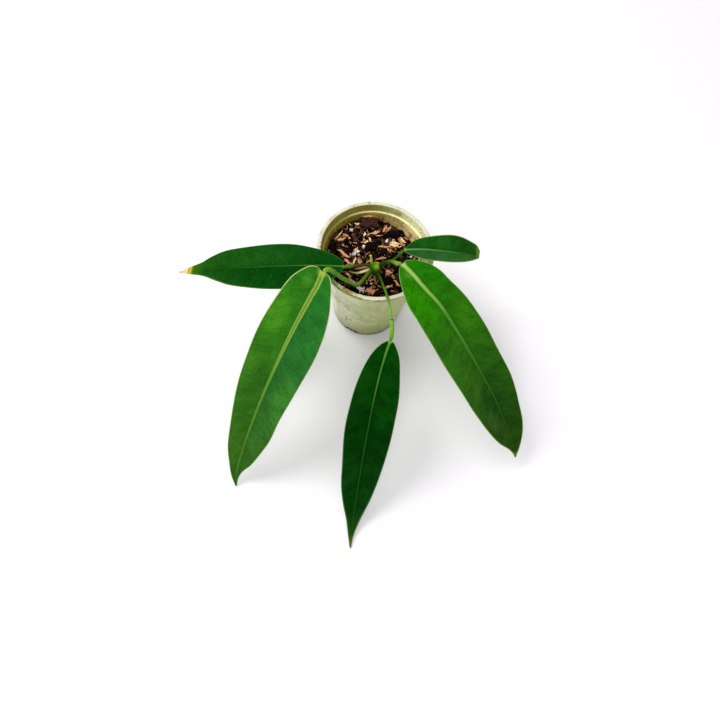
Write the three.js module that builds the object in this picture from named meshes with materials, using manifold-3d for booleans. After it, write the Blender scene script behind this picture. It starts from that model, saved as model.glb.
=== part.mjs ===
// Potted queen anthurium: a young plant with five velvety leaves in a small nursery pot.
// Millimetres, +Z up. The origin is the centre of the pot's underside, which rests on the floor.
// Seen from the front, +X is to the right and the viewer stands on the -Y side.

import * as THREE from 'three';
import { mergeVertices } from 'three/addons/utils/BufferGeometryUtils.js';
import Module from 'manifold-3d';

const wasm = await Module();
wasm.setup();

// Pot
const POT_HEIGHT = 99.5;
const RIM_RADIUS = 50.5;
const LIP_WIDTH = 4;
const LIP_THICKNESS = 2.6;
const COLLAR_RADIUS = 47;
const SHOULDER_BELOW_RIM = 10.6;
const SHOULDER_RADIUS = 44.5;
const BASE_RADIUS = 30.6;
const WALL = 1.1;
const FLOOR = 1.2;
const LEDGE_BELOW_RIM = 8;
const BASE_CHAMFER = 1.2;
const SHOULDER_RISE = 1.2;
const LEDGE_SLOPE = 1;
const ROUNDING = 0.6;
const POT_SEGMENTS = 64;
const NOTCHES = { count: 4, width: 7, height: 3, depth: 3.2, firstAngle: -110 };
const FLOOR_HOLES = { count: 4, radius: 3.5, circle: 17, firstAngle: -65, sides: 14 };

// Potting mix. Its surface slopes up towards the back and the left wall, and the wall trims it.
const FIT_GAP = 0.3;
const MIX_LEVEL = 76.3;
const MIX_SLOPE = { x: -0.12, y: 0.15 };
const MIX_RELIEF = { height: 0.9, across: 0.23, back: 0.19, fineAcross: 0.41, fineBack: 0.37 };
const MIX_RINGS = [0, 8, 16, 24, 32, 39, 46];
const MIX_SEGMENTS = 36;
const CHIPS = {
  count: 84, seed: 4127, reach: 40.5, keepOffStem: 9.5, tilt: 14, smallest: 0.74, spread: 0.3, raised: 0.17,
};
const GOLDEN_ANGLE = Math.PI * (3 - Math.sqrt(5));

// Stem
const STEM = { x: 3, y: -10, foot: 56, sides: 14 };
const STEM_PROFILE = [
  [3.4, 56], [4.2, 60], [4.3, 74], [3.9, 78], [4.2, 80], [3.6, 82.5], [3.9, 84.5],
  [3.4, 87], [3.6, 88.6], [2.9, 90.6], [1.7, 92.2],
];
const STEM_TOP = 92.8;
const ROOT_RADIUS = 0.75;
const ROOTS = [
  [[2, -11, 81], [-0.4, -14.6, 79], [-1.8, -17, 75], [-2.4, -18, 68]],
  [[3, -11, 81], [3.2, -14.6, 79], [4.6, -17.2, 75], [5.2, -18, 68]],
  [[4, -9, 80], [7.2, -7.6, 78.5], [9.2, -6.6, 74], [9.8, -6.2, 68]],
];

// Blades
const BLADE_THICKNESS = 0.8;
const FOLD_SOFTNESS = 4;
const EDGE_REACH = 25;
const ROW_CROWDING = 0.6;
const ROW_SWEEP = 1.4;
const WAVE_LENGTH = 58;
const PETIOLE_SIDES = 8;
const BASE_FLARE = 3;
const JOINT_BLEND = 2;

// Each leaf is given by its midrib from base to tip, and by its two edges as [along, out] from it.
// fold raises the edges, curl rolls them down and wave ripples them. rib is the midrib's half width,
// base and tip, ribRise its height above the blade (negative for a groove), and keel its depth below,
// base and tip. A petiole's joint is the swollen stretch just under the blade.
const LEAVES = [
  {
    name: 'left',
    colour: 0x11501f,
    midrib: [[-23.6, -24.8, 103], [-47, -32, 108.5], [-71, -38.8, 110.5], [-95, -43.8, 108.5],
      [-120, -46.8, 103], [-145, -49, 94.5], [-158.6, -49.9, 89.5]],
    rightEdge: [[0, 1.2], [0.3, 5.5], [11, 12.7], [26, 17.3], [40, 20.4], [60, 20.9], [90, 19.2],
      [103, 16.9], [115, 12], [122, 8], [131, 4.9], [141.4, 0.6]],
    leftEdge: [[0, 1.2], [6, 8.2], [22, 16.9], [42, 21.8], [64, 22], [80, 20], [95, 16.7], [107, 11.6],
      [119, 5.9], [133, 2.5], [141.4, 0.6]],
    rows: 20, fold: 5, curl: 0.5, wave: 0.5, rib: [1.3, 0.5], ribRise: 0.15, keel: [1.5, 0.5],
    petiole: {
      route: [[1.4, -9.8, 87.4], [-2.1, -9.8, 88.2], [-5.2, -11.1, 90.3], [-9.7, -14.2, 93.5],
        [-14.4, -17.9, 97], [-18.5, -21.9, 100.4], [-23, -24.6, 102.7]],
      radius: 1, base: 1.4, joint: 1.3, jointLength: 9, steps: 18,
    },
  },
  {
    name: 'front_left',
    colour: 0x2f7c22,
    midrib: [[-38.8, -44, 120], [-41, -58, 121], [-45.3, -71.1, 118.5], [-53.6, -95, 108.5],
      [-61.2, -116.2, 93.5], [-68.5, -135.8, 74.5], [-75, -154.6, 52.5], [-80.7, -173.4, 29],
      [-83.3, -186.2, 13], [-82.4, -196.4, 1.2]],
    rightEdge: [[0, 1.6], [-3, 5.5], [-1.5, 11.6], [9, 19.3], [24, 23.3], [60, 26], [95, 25.1],
      [131, 20.6], [160, 15.5], [175, 12.2], [188, 7.3], [200, 3.4], [207, 0.7]],
    leftEdge: [[0, 1.6], [3, 6.6], [14, 12.3], [28, 19.4], [44, 24.3], [68, 26.9], [96, 25], [128, 21.5],
      [149, 20.1], [163, 17], [183, 10.4], [192, 5.2], [200, 1.9], [207, 0.7]],
    rows: 22, fold: 7, curl: 0.7, wave: 0.7, rib: [1.8, 0.6], ribRise: -0.3, keel: [2, 0.6],
    petiole: {
      route: [[1.8, -11, 84.4], [-0.7, -12.4, 84.4], [-3.2, -15.8, 84], [-5.2, -20.2, 83.5],
        [-7.3, -24.6, 84], [-9.8, -29.1, 86], [-12.4, -31.7, 89], [-16.2, -34.4, 95.5],
        [-20.1, -36.5, 102], [-25.1, -38.8, 109.5], [-31.1, -39.7, 116.5], [-34.6, -39.9, 119.2],
        [-37, -41.3, 120.1], [-38.3, -42.9, 120.1]],
      radius: 1.75, base: 2.1, joint: 2, jointLength: 11, steps: 30,
    },
  },
  {
    name: 'front_middle',
    colour: 0x123d16,
    midrib: [[25.1, -81.5, 93.5], [23.4, -90.3, 93.3], [21.5, -105.3, 89.5], [20.3, -120.2, 82],
      [19.7, -135.3, 71], [19.6, -149.6, 58], [19.5, -162.5, 45], [19.8, -175.5, 32],
      [20.2, -195.1, 16.5], [21.1, -213.7, 6], [22.5, -232.1, 1.2]],
    rightEdge: [[0, 1.5], [6, 6.2], [18, 11.7], [39, 16.3], [60, 18.3], [80, 19], [108, 16.5],
      [130, 14.2], [146, 10.2], [159, 5.8], [175, 2.1], [181.3, 0.6]],
    leftEdge: [[0, 1.5], [1.5, 4], [12, 11.3], [26, 15.9], [46, 19.8], [65, 20.4], [90, 19.6],
      [111, 17.4], [139, 12], [158, 5.7], [172, 1.7], [181.3, 0.6]],
    rows: 22, fold: 7, curl: 0.7, wave: 0.4, rib: [1.5, 0.5], ribRise: 0.15, keel: [1.7, 0.5],
    petiole: {
      route: [[3.6, -12, 85], [5.5, -15, 86], [7.3, -18.7, 88], [9.4, -24.5, 91], [11.7, -31.7, 94.8],
        [14.3, -39.2, 99.2], [16.5, -46.2, 101.9], [18.6, -51.7, 102.6], [20.2, -57.3, 103],
        [21.8, -62.4, 102.4], [23, -66.6, 101], [24.7, -72, 98.5], [25.1, -77.2, 96], [25.2, -80.9, 94]],
      radius: 1.05, base: 1.5, joint: 1.65, jointLength: 16, steps: 28,
    },
  },
  {
    name: 'right',
    colour: 0x256c1a,
    midrib: [[24, -21.1, 116.5], [32.8, -30, 119], [45.1, -42, 119], [59.4, -52.5, 115],
      [74.8, -66.3, 106.5], [90.9, -80.2, 94.5], [114.1, -97.6, 70.5], [127.3, -106.9, 53],
      [138.7, -115.4, 36], [147.6, -125.1, 22], [151.6, -130.9, 14.5]],
    rightEdge: [[0, 1.8], [2.4, 5.1], [11, 11.6], [25.5, 18.7], [36, 23.7], [50, 25.8], [98, 26.6],
      [130, 25.7], [150, 22.9], [170, 18.9], [187, 12.3], [198, 4.9], [204, 1.9], [208, 0.7]],
    leftEdge: [[0, 1.8], [-1.6, 3.9], [2, 9.6], [12.4, 16.7], [24, 20.6], [40, 21.6], [60, 23.6],
      [98, 24.2], [131, 23.8], [152, 21.9], [172, 18.5], [186, 13.5], [195, 9], [201, 5.2], [208, 0.7]],
    rows: 22, fold: 7, curl: 0.7, wave: 0.6, rib: [2.2, 0.6], ribRise: 0.3, keel: [2, 0.6],
    petiole: {
      route: [[3.6, -9.9, 87.6], [7.1, -9.3, 92], [9.4, -10.9, 98], [12.2, -13, 104], [15.8, -16.1, 110],
        [19.5, -19.2, 113.7], [21.8, -20.2, 115.3], [23, -20.6, 115.9]],
      radius: 1.6, base: 1.9, joint: 1.9, jointLength: 8, steps: 20,
    },
  },
  {
    name: 'small',
    colour: 0x17592a,
    midrib: [[23.9, 2.3, 103], [38.7, 3.8, 106], [49.7, 4.5, 107], [62.5, 5.5, 107], [80.7, 7.6, 105],
      [88, 8.7, 104]],
    rightEdge: [[0, 1.1], [3, 4.4], [8, 7.9], [19, 12.7], [27, 13.3], [38, 13], [50, 10.4], [58, 6.8],
      [64.5, 2.6]],
    leftEdge: [[0, 1.1], [2, 2.6], [9, 7.9], [22, 11.6], [40, 14.4], [49, 13.8], [58, 11], [62.5, 9],
      [65.6, 4.5]],
    rows: 14, fold: 24, curl: 0.4, wave: 0.2, rib: [1, 0.5], ribRise: 0.15, keel: [1.2, 0.5],
    petiole: {
      route: [[4, -9, 84.4], [6.6, -7, 87], [9.8, -6.4, 90], [15.3, -5.4, 95.5], [17.7, -4.5, 98],
        [20.4, -2.6, 101], [22, -0.2, 102.4], [22.8, 1.4, 102.8]],
      radius: 1.1, base: 1.5, joint: 1.3, jointLength: 7, steps: 16,
    },
  },
];

// Sheaths left round the crown: an upright yellow stub, a pale spear and a dried brown one.
const SHEATH_START = 0.3;
const SHEATHS = [
  {
    name: 'sheath_stub', colour: 0xb9b840, width: 1.25, depth: 0.8, steps: 6, tip: 0.7,
    route: [[0.6, -8.4, 84.5], [-1.3, -6.8, 86.5], [-2.2, -5.6, 91], [-3.3, -4.5, 96.4]],
  },
  {
    name: 'sheath_spear', colour: 0xcfd38a, width: 1.7, depth: 0.9, steps: 9, tip: 0.25,
    route: [[1, -9.4, 82.4], [-2.4, -9.7, 82.2], [-7.6, -12.8, 82.4], [-12.5, -15.1, 82.2],
      [-16.8, -15.4, 81.8], [-19.6, -14.6, 81.2]],
  },
  {
    name: 'sheath_dry', colour: 0x7a4a2a, width: 1.3, depth: 0.7, steps: 7, tip: 0.4,
    route: [[1.4, -7.2, 82.6], [-2, -6.1, 82.6], [-6, -6.6, 82.4], [-10.4, -8, 81.8], [-15.4, -9.6, 81]],
  },
];

const { degToRad: rad, lerp, smoothstep, clamp } = THREE.MathUtils;
const point = ([x, y, z]) => new THREE.Vector3(x, y, z);
const spline = (points) => new THREE.CatmullRomCurve3(points.map(point));

// A closed indexed geometry of positions alone, with its faces pointing out.
function closed(geometry) {
  geometry.deleteAttribute('normal');
  geometry.deleteAttribute('uv');
  const welded = mergeVertices(geometry, 1e-3);
  const index = welded.index.array;
  const kept = [];
  for (let i = 0; i < index.length; i += 3) {
    const [a, b, c] = index.slice(i, i + 3);
    if (a !== b && b !== c && c !== a) kept.push(a, b, c);
  }
  welded.setIndex(volume(welded.attributes.position, kept) < 0 ? kept.reverse() : kept);
  return welded;
}

function volume(position, index) {
  const [a, b, c] = [new THREE.Vector3(), new THREE.Vector3(), new THREE.Vector3()];
  let sum = 0;
  for (let i = 0; i < index.length; i += 3) {
    a.fromBufferAttribute(position, index[i]);
    b.fromBufferAttribute(position, index[i + 1]);
    c.fromBufferAttribute(position, index[i + 2]);
    sum += a.dot(b.cross(c)) / 6;
  }
  return sum;
}

function toSolid(geometry) {
  const body = closed(geometry);
  return new wasm.Manifold(new wasm.Mesh({
    numProp: 3,
    vertProperties: Float32Array.from(body.attributes.position.array),
    triVerts: Uint32Array.from(body.index.array),
  }));
}

function toGeometry(solid) {
  const mesh = solid.getMesh();
  const geometry = new THREE.BufferGeometry();
  geometry.setAttribute('position', new THREE.BufferAttribute(Float32Array.from(mesh.vertProperties), 3));
  geometry.setIndex([...mesh.triVerts]);
  return geometry;
}

function turned(profile, segments) {
  const outline = profile.map(([radius, height]) => new THREE.Vector2(radius, height));
  return new THREE.LatheGeometry(outline, segments).rotateX(Math.PI / 2);
}

// A tube along a route with a radius of its own at each step, given as a function of the length so far.
function taperedTube(route, sides, steps, sizeAt) {
  const curve = spline(route);
  const length = curve.getLength();
  const ring = Array.from({ length: sides }, (_, i) => {
    const angle = (2 * Math.PI * i) / sides;
    return new THREE.Vector2(Math.cos(angle), Math.sin(angle));
  });
  const options = { steps, extrudePath: curve, bevelEnabled: false };
  const tube = new THREE.ExtrudeGeometry(new THREE.Shape(ring), options);
  const centres = curve.getSpacedPoints(steps);
  const position = tube.attributes.position;
  const at = new THREE.Vector3();
  for (let i = 0; i < position.count; i++) {
    at.fromBufferAttribute(position, i);
    const step = nearestRing(at, centres);
    const { radius, flat = 1 } = sizeAt((step / steps) * length, length);
    const offset = at.sub(centres[step]);
    offset.set(offset.x * radius, offset.y * radius, offset.z * radius * flat);
    position.setXYZ(i, ...offset.add(centres[step]).toArray());
  }
  return tube;
}

// A vertex of a tube of radius 1 belongs to the ring whose centre is 1 away.
function nearestRing(vertex, centres) {
  const errors = centres.map((centre) => Math.abs(vertex.distanceTo(centre) - 1));
  return errors.indexOf(Math.min(...errors));
}

// Pot

const wallInside = (z) => BASE_RADIUS - WALL
  + ((z - FLOOR) * (SHOULDER_RADIUS - BASE_RADIUS)) / (POT_HEIGHT - SHOULDER_BELOW_RIM);

function potSolid() {
  const shoulder = POT_HEIGHT - SHOULDER_BELOW_RIM;
  const ledge = POT_HEIGHT - LEDGE_BELOW_RIM;
  const lipUnder = POT_HEIGHT - LIP_THICKNESS;
  const lipInside = RIM_RADIUS - LIP_WIDTH;
  const collarInside = COLLAR_RADIUS - 1.5 * WALL;
  return toSolid(turned([
    [0, 0], [BASE_RADIUS - BASE_CHAMFER, 0], [BASE_RADIUS, BASE_CHAMFER], [SHOULDER_RADIUS, shoulder],
    [COLLAR_RADIUS - ROUNDING, shoulder + SHOULDER_RISE], [COLLAR_RADIUS, lipUnder - ROUNDING / 2],
    [RIM_RADIUS - ROUNDING / 2, lipUnder], [RIM_RADIUS, POT_HEIGHT - LIP_THICKNESS / 2],
    [RIM_RADIUS - ROUNDING / 2, POT_HEIGHT - ROUNDING / 2], [RIM_RADIUS - 2 * ROUNDING, POT_HEIGHT],
    [lipInside + ROUNDING, POT_HEIGHT], [lipInside, POT_HEIGHT - ROUNDING],
    [collarInside, ledge + ROUNDING / 2], [wallInside(ledge) + ROUNDING / 2, ledge],
    [wallInside(ledge - LEDGE_SLOPE), ledge - LEDGE_SLOPE], [wallInside(FLOOR), FLOOR], [0, FLOOR],
  ], POT_SEGMENTS));
}

function pot() {
  let solid = potSolid();
  for (let i = 0; i < NOTCHES.count; i++) {
    const cut = new THREE.BoxGeometry(NOTCHES.depth * 2, NOTCHES.width, NOTCHES.height * 2);
    cut.translate(BASE_RADIUS + 0.2, 0, 0).rotateZ(rad(NOTCHES.firstAngle + (360 / NOTCHES.count) * i));
    solid = solid.subtract(toSolid(cut));
  }
  for (let i = 0; i < FLOOR_HOLES.count; i++) {
    const { radius, circle, sides, firstAngle, count } = FLOOR_HOLES;
    const cut = new THREE.CylinderGeometry(radius, radius, FLOOR * 4, sides);
    cut.rotateX(Math.PI / 2).translate(circle, 0, 0).rotateZ(rad(firstAngle + (360 / count) * i));
    solid = solid.subtract(toSolid(cut));
  }
  return toGeometry(solid);
}

// Potting mix

function mixSurface(x, y) {
  const { height, across, back, fineAcross, fineBack } = MIX_RELIEF;
  const coarse = Math.sin(x * across + 1) * Math.cos(y * back);
  const fine = Math.sin(x * fineAcross - y * fineBack);
  return MIX_LEVEL + MIX_SLOPE.x * x + MIX_SLOPE.y * y + height * (coarse + fine / 2);
}

// Draws in order from a fixed seed, each from 0 to 1.
function draws(seed) {
  let state = seed;
  return () => {
    state = (state * 48271) % 2147483647;
    return state / 2147483647;
  };
}

// Bark chunks, wood splinters and perlite crumbs: length, width and height ranges.
const CHIP_KINDS = {
  bark: { length: [7, 12], width: [5, 8], height: [3, 4.5] },
  splinter: { length: [7, 13], width: [1.8, 3.2], height: [1.5, 2.2] },
  perlite: { length: [2.6, 4], width: [2.4, 3.6], height: [2.4, 3.4] },
};

// A spiral spreads the chips evenly. Every chip is sunk a third of its height into the surface.
function chipPlaces() {
  const draw = draws(CHIPS.seed);
  const between = ([low, high]) => low + (high - low) * draw();
  const places = [];
  for (let i = 0; i < CHIPS.count; i++) {
    const kind = ['bark', 'splinter', 'splinter', 'bark', 'perlite'][i % 5];
    const { length, width, height } = CHIP_KINDS[kind];
    const size = [between(length), between(width), between(height)];
    const radius = CHIPS.reach * Math.sqrt((i + 0.5) / CHIPS.count);
    const angle = i * GOLDEN_ANGLE + draw();
    const lean = [-CHIPS.tilt, CHIPS.tilt];
    const turn = [rad(between(lean)), rad(between(lean)), 2 * Math.PI * draw()];
    const corners = Array.from({ length: 8 }, () => CHIPS.smallest + CHIPS.spread * draw());
    const [x, y] = [radius * Math.cos(angle), radius * Math.sin(angle)];
    if (Math.hypot(x - STEM.x, y - STEM.y) > CHIPS.keepOffStem) places.push({ size, x, y, turn, corners });
  }
  return places;
}

function chipSolid({ size, x, y, turn, corners }) {
  const chip = closed(new THREE.BoxGeometry(...size));
  const position = chip.attributes.position;
  for (let i = 0; i < position.count; i++) {
    position.setXY(i, position.getX(i) * corners[i], position.getY(i) * corners[(i + 3) % 8]);
  }
  chip.rotateX(turn[0]).rotateY(turn[1]).rotateZ(turn[2]);
  return toSolid(chip.translate(x, y, mixSurface(x, y) + size[2] * CHIPS.raised));
}

function pottingMix() {
  const foot = FLOOR + FIT_GAP;
  const top = MIX_RINGS.toReversed().map((radius) => [radius, MIX_LEVEL]);
  const profile = [[0, foot], [MIX_RINGS.at(-1), foot], ...top];
  const body = turned(profile, MIX_SEGMENTS);
  const position = body.attributes.position;
  for (let i = 0; i < position.count; i++) {
    const [x, y, z] = [position.getX(i), position.getY(i), position.getZ(i)];
    if (z > MIX_LEVEL - 1) position.setZ(i, mixSurface(x, y));
  }
  let solid = toSolid(body);
  for (const place of chipPlaces()) solid = solid.add(chipSolid(place));
  const room = [
    [0, 0], [wallInside(0) - FIT_GAP, 0], [wallInside(POT_HEIGHT) - FIT_GAP, POT_HEIGHT], [0, POT_HEIGHT],
  ];
  solid = solid.intersect(toSolid(turned(room, POT_SEGMENTS)));
  return toGeometry(largest(solid.subtract(stemSolid(FIT_GAP))));
}

function largest(solid) {
  return solid.decompose().sort((a, b) => b.volume() - a.volume())[0];
}

// Stem, with its roots. grow widens it all round, for the hole that it stands in.

function stemSolid(grow) {
  const profile = STEM_PROFILE.map(([radius, height], i) => [radius + grow, height - (i === 0 ? grow : 0)]);
  const body = turned([[0, STEM.foot - grow], ...profile, [0, STEM_TOP + grow]], STEM.sides);
  let solid = toSolid(body.translate(STEM.x, STEM.y, 0));
  for (const route of ROOTS) {
    const end = route.with(-1, [route.at(-1)[0], route.at(-1)[1], route.at(-1)[2] - grow]);
    solid = solid.add(toSolid(taperedTube(end, 6, 9, () => ({ radius: ROOT_RADIUS + grow }))));
  }
  return solid;
}

// Leaves

function petiole({ petiole: { route, radius, base, joint, jointLength, steps } }) {
  const sizeAt = (along, length) => {
    const flare = (base - radius) * Math.exp(-along / BASE_FLARE);
    const jointStart = length - jointLength;
    const swell = (joint - radius) * smoothstep(along, jointStart - JOINT_BLEND, jointStart);
    return { radius: radius + flare + swell };
  };
  const tube = toSolid(taperedTube(route, PETIOLE_SIDES, steps, sizeAt));
  return toGeometry(largest(tube.subtract(stemSolid(FIT_GAP))));
}

// The place on a blade's middle surface that lies along the midrib and out to its right (negative: left).
function bladePlace(leaf, curve, length, along, out) {
  const on = clamp(along / length, 0, 1);
  const forward = curve.getTangentAt(on);
  const right = new THREE.Vector3(forward.y, -forward.x, 0).normalize();
  const up = new THREE.Vector3().crossVectors(right, forward);
  const reach = out / EDGE_REACH;
  const lift = Math.tan(rad(leaf.fold)) * (Math.hypot(out, FOLD_SOFTNESS) - FOLD_SOFTNESS)
    - leaf.curl * reach * reach
    + leaf.wave * reach * Math.abs(reach) * Math.sin((2 * Math.PI * along) / WAVE_LENGTH + Math.sign(out));
  const place = curve.getPointAt(on).addScaledVector(forward, along - on * length);
  return { place: place.addScaledVector(right, out).addScaledVector(up, lift), up };
}

// The columns across a blade: edge, two between, the midrib's side, its middle, and the same back out.
const COLUMNS = [-1, -0.66, -0.33, 0, 'middle', 0, 0.33, 0.66, 1];

function blade(leaf) {
  const curve = spline(leaf.midrib);
  const length = curve.getLength();
  const flat = ([along, out]) => [along, out, 0];
  const edges = [leaf.leftEdge, leaf.rightEdge].map((edge) => spline(edge.map(flat)));
  const { rows } = leaf;
  const grid = new THREE.PlaneGeometry(1, 1, COLUMNS.length - 1, rows);
  const across = COLUMNS.length;
  const faces = { top: [], bottom: [] };
  for (let row = 0; row <= rows; row++) {
    const even = row / rows;
    const share = even - (ROW_CROWDING * Math.sin(2 * Math.PI * even)) / (2 * Math.PI);
    const centre = length * share ** ROW_SWEEP;
    const ends = edges.map((edge) => edge.getPointAt(share));
    COLUMNS.forEach((column, i) => {
      const side = i < 4 ? -1 : 1;
      const end = ends[i < 4 ? 0 : 1];
      const rib = Math.min(lerp(...leaf.rib, share), end.y / 2);
      const out = column === 'middle' ? 0 : lerp(rib, end.y, Math.abs(column));
      const along = lerp(centre, end.x, out / end.y);
      const { place, up } = bladePlace(leaf, curve, length, along, side * out);
      const isMiddle = column === 'middle';
      const half = BLADE_THICKNESS / 2;
      faces.top.push(place.clone().addScaledVector(up, half + (isMiddle ? leaf.ribRise : 0)));
      faces.bottom.push(place.addScaledVector(up, -half - (isMiddle ? lerp(...leaf.keel, share) : 0)));
    });
  }
  const geometry = new THREE.BufferGeometry().setFromPoints([...faces.top, ...faces.bottom]);
  geometry.setIndex([...shellIndex(grid.index.array, across, rows)]);
  return closed(geometry);
}

// The top and bottom sheets are split into triangles alike, and a strip round the edge joins them.
function shellIndex(sheet, across, rows) {
  const count = across * (rows + 1);
  const index = [];
  for (let i = 0; i < sheet.length; i += 3) {
    const [a, b, c] = sheet.slice(i, i + 3);
    index.push(a, b, c, count + a, count + c, count + b);
  }
  const edge = [];
  for (let i = 0; i < across - 1; i++) edge.push(i);
  for (let row = 0; row < rows; row++) edge.push(row * across + across - 1);
  for (let i = across - 1; i > 0; i--) edge.push(rows * across + i);
  for (let row = rows; row > 0; row--) edge.push(row * across);
  edge.forEach((here, i) => {
    const next = edge[(i + 1) % edge.length];
    index.push(here, next, count + next, here, count + next, count + here);
  });
  return index;
}

// Sheaths: flattened, pointed pieces that are widest a third of the way along.

function sheath({ route, width, depth, steps, tip }) {
  const sizeAt = (along, length) => {
    const share = along / length;
    const swell = Math.sin(Math.PI * lerp(SHEATH_START, 1, share));
    return { radius: lerp(tip, width, swell), flat: depth / width };
  };
  return toGeometry(largest(toSolid(taperedTube(route, 8, steps, sizeAt)).subtract(stemSolid(FIT_GAP))));
}

function piece(name, geometry, colour, roughness) {
  const material = new THREE.MeshStandardMaterial({ color: colour, roughness, metalness: 0 });
  const mesh = new THREE.Mesh(geometry, material);
  mesh.name = name;
  return mesh;
}

const plant = new THREE.Group();
plant.add(piece('pot', pot(), 0xc9cfa6, 0.5));
plant.add(piece('potting_mix', pottingMix(), 0x3b2a20, 0.95));
plant.add(piece('stem', toGeometry(stemSolid(0)), 0x5c7a2a, 0.6));
for (const leaf of LEAVES) {
  plant.add(piece(`petiole_${leaf.name}`, petiole(leaf), 0x4f8a2c, 0.5));
  plant.add(piece(`blade_${leaf.name}`, blade(leaf), leaf.colour, 0.6));
}
for (const each of SHEATHS) plant.add(piece(each.name, sheath(each), each.colour, 0.7));

export default plant;
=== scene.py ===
import math

import bpy
import numpy as np
from mathutils import Matrix, Vector, noise


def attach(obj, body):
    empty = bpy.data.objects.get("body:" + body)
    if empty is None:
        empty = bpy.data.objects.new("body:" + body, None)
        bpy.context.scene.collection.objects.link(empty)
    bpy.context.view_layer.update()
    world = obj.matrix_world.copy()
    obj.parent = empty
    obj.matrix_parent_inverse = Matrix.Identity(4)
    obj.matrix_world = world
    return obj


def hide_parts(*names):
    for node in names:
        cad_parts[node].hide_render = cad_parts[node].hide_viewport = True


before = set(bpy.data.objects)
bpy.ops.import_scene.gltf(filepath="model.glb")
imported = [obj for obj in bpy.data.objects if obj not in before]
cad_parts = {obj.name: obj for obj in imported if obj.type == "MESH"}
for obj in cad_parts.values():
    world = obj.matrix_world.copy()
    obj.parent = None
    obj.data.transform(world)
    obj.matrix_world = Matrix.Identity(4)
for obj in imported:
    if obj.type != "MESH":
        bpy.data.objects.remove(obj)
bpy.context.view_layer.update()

# A young potted queen anthurium: five velvety leaves in a small nursery pot of bark mix.
# Sizes are in mm here and become metres where a mesh is made. +Z is up and the viewer stands on the -Y side.

MM = 0.001
BODY = "root"
bpy.ops.object.select_all(action="DESELECT")

# Pot
POT_HEIGHT = 99.5
RIM_RADIUS = 50.5
LIP_WIDTH = 4.0
LIP_THICKNESS = 2.6
COLLAR_RADIUS = 47.0
SHOULDER_HEIGHT = POT_HEIGHT - 10.6
SHOULDER_RADIUS = 44.5
BASE_RADIUS = 30.6
WALL = 1.1
FLOOR = 1.2
LEDGE_HEIGHT = POT_HEIGHT - 8.0
POT_AROUND = 192
NOTCHES = {"count": 4, "width": 7.0, "height": 3.0, "depth": 3.2, "first_angle": -110}
FLOOR_HOLES = {"count": 4, "radius": 3.5, "circle": 17.0, "first_angle": -65}

# Potting mix
FIT_GAP = 0.3
MIX_LEVEL = 76.3
MIX_SLOPE_X = -0.12
MIX_SLOPE_Y = 0.15
MIX_RELIEF = 0.9
SEED = 4127

# Stem
STEM_X, STEM_Y = 3.0, -10.0
STEM_PROFILE = [
    (3.4, 56), (4.2, 60), (4.3, 74), (3.9, 78), (4.2, 80), (4.2, 82.5), (4.9, 84.5),
    (4.7, 87), (4.6, 88.6), (3.7, 90.6), (2.2, 92.2), (0.2, 92.9),
]
ROOTS = {
    "root_left": [(2, -11, 81), (-0.4, -14.6, 79), (-1.8, -17, 75), (-2.4, -18, 68)],
    "root_front": [(3, -11, 81), (3.2, -14.6, 79), (4.6, -17.2, 75), (5.2, -18, 68)],
    "root_right": [(4, -9, 80), (7.2, -7.6, 78.5), (9.2, -6.6, 74), (9.8, -6.2, 68)],
}
ROOT_RADIUS = 0.75
ROOT_TONES = [(0.0, "#8e7844"), (0.5, "#b08c54"), (1.0, "#7a5c34")]

# Blades
BLADE_HALF = 0.3
MARGIN_ROUND = 0.5
FOLD_SOFTNESS = 4.0
EDGE_REACH = 25.0
WAVE_LENGTH = 58.0
ROW_SWEEP = 1.4
ROW_CROWDING = 0.45
COLUMN_CROWDING = 0.7
HALF_COLUMNS = 34
QUILT_HEIGHT = 0.06
SIDE_VEIN_GAP = 6.5

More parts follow.
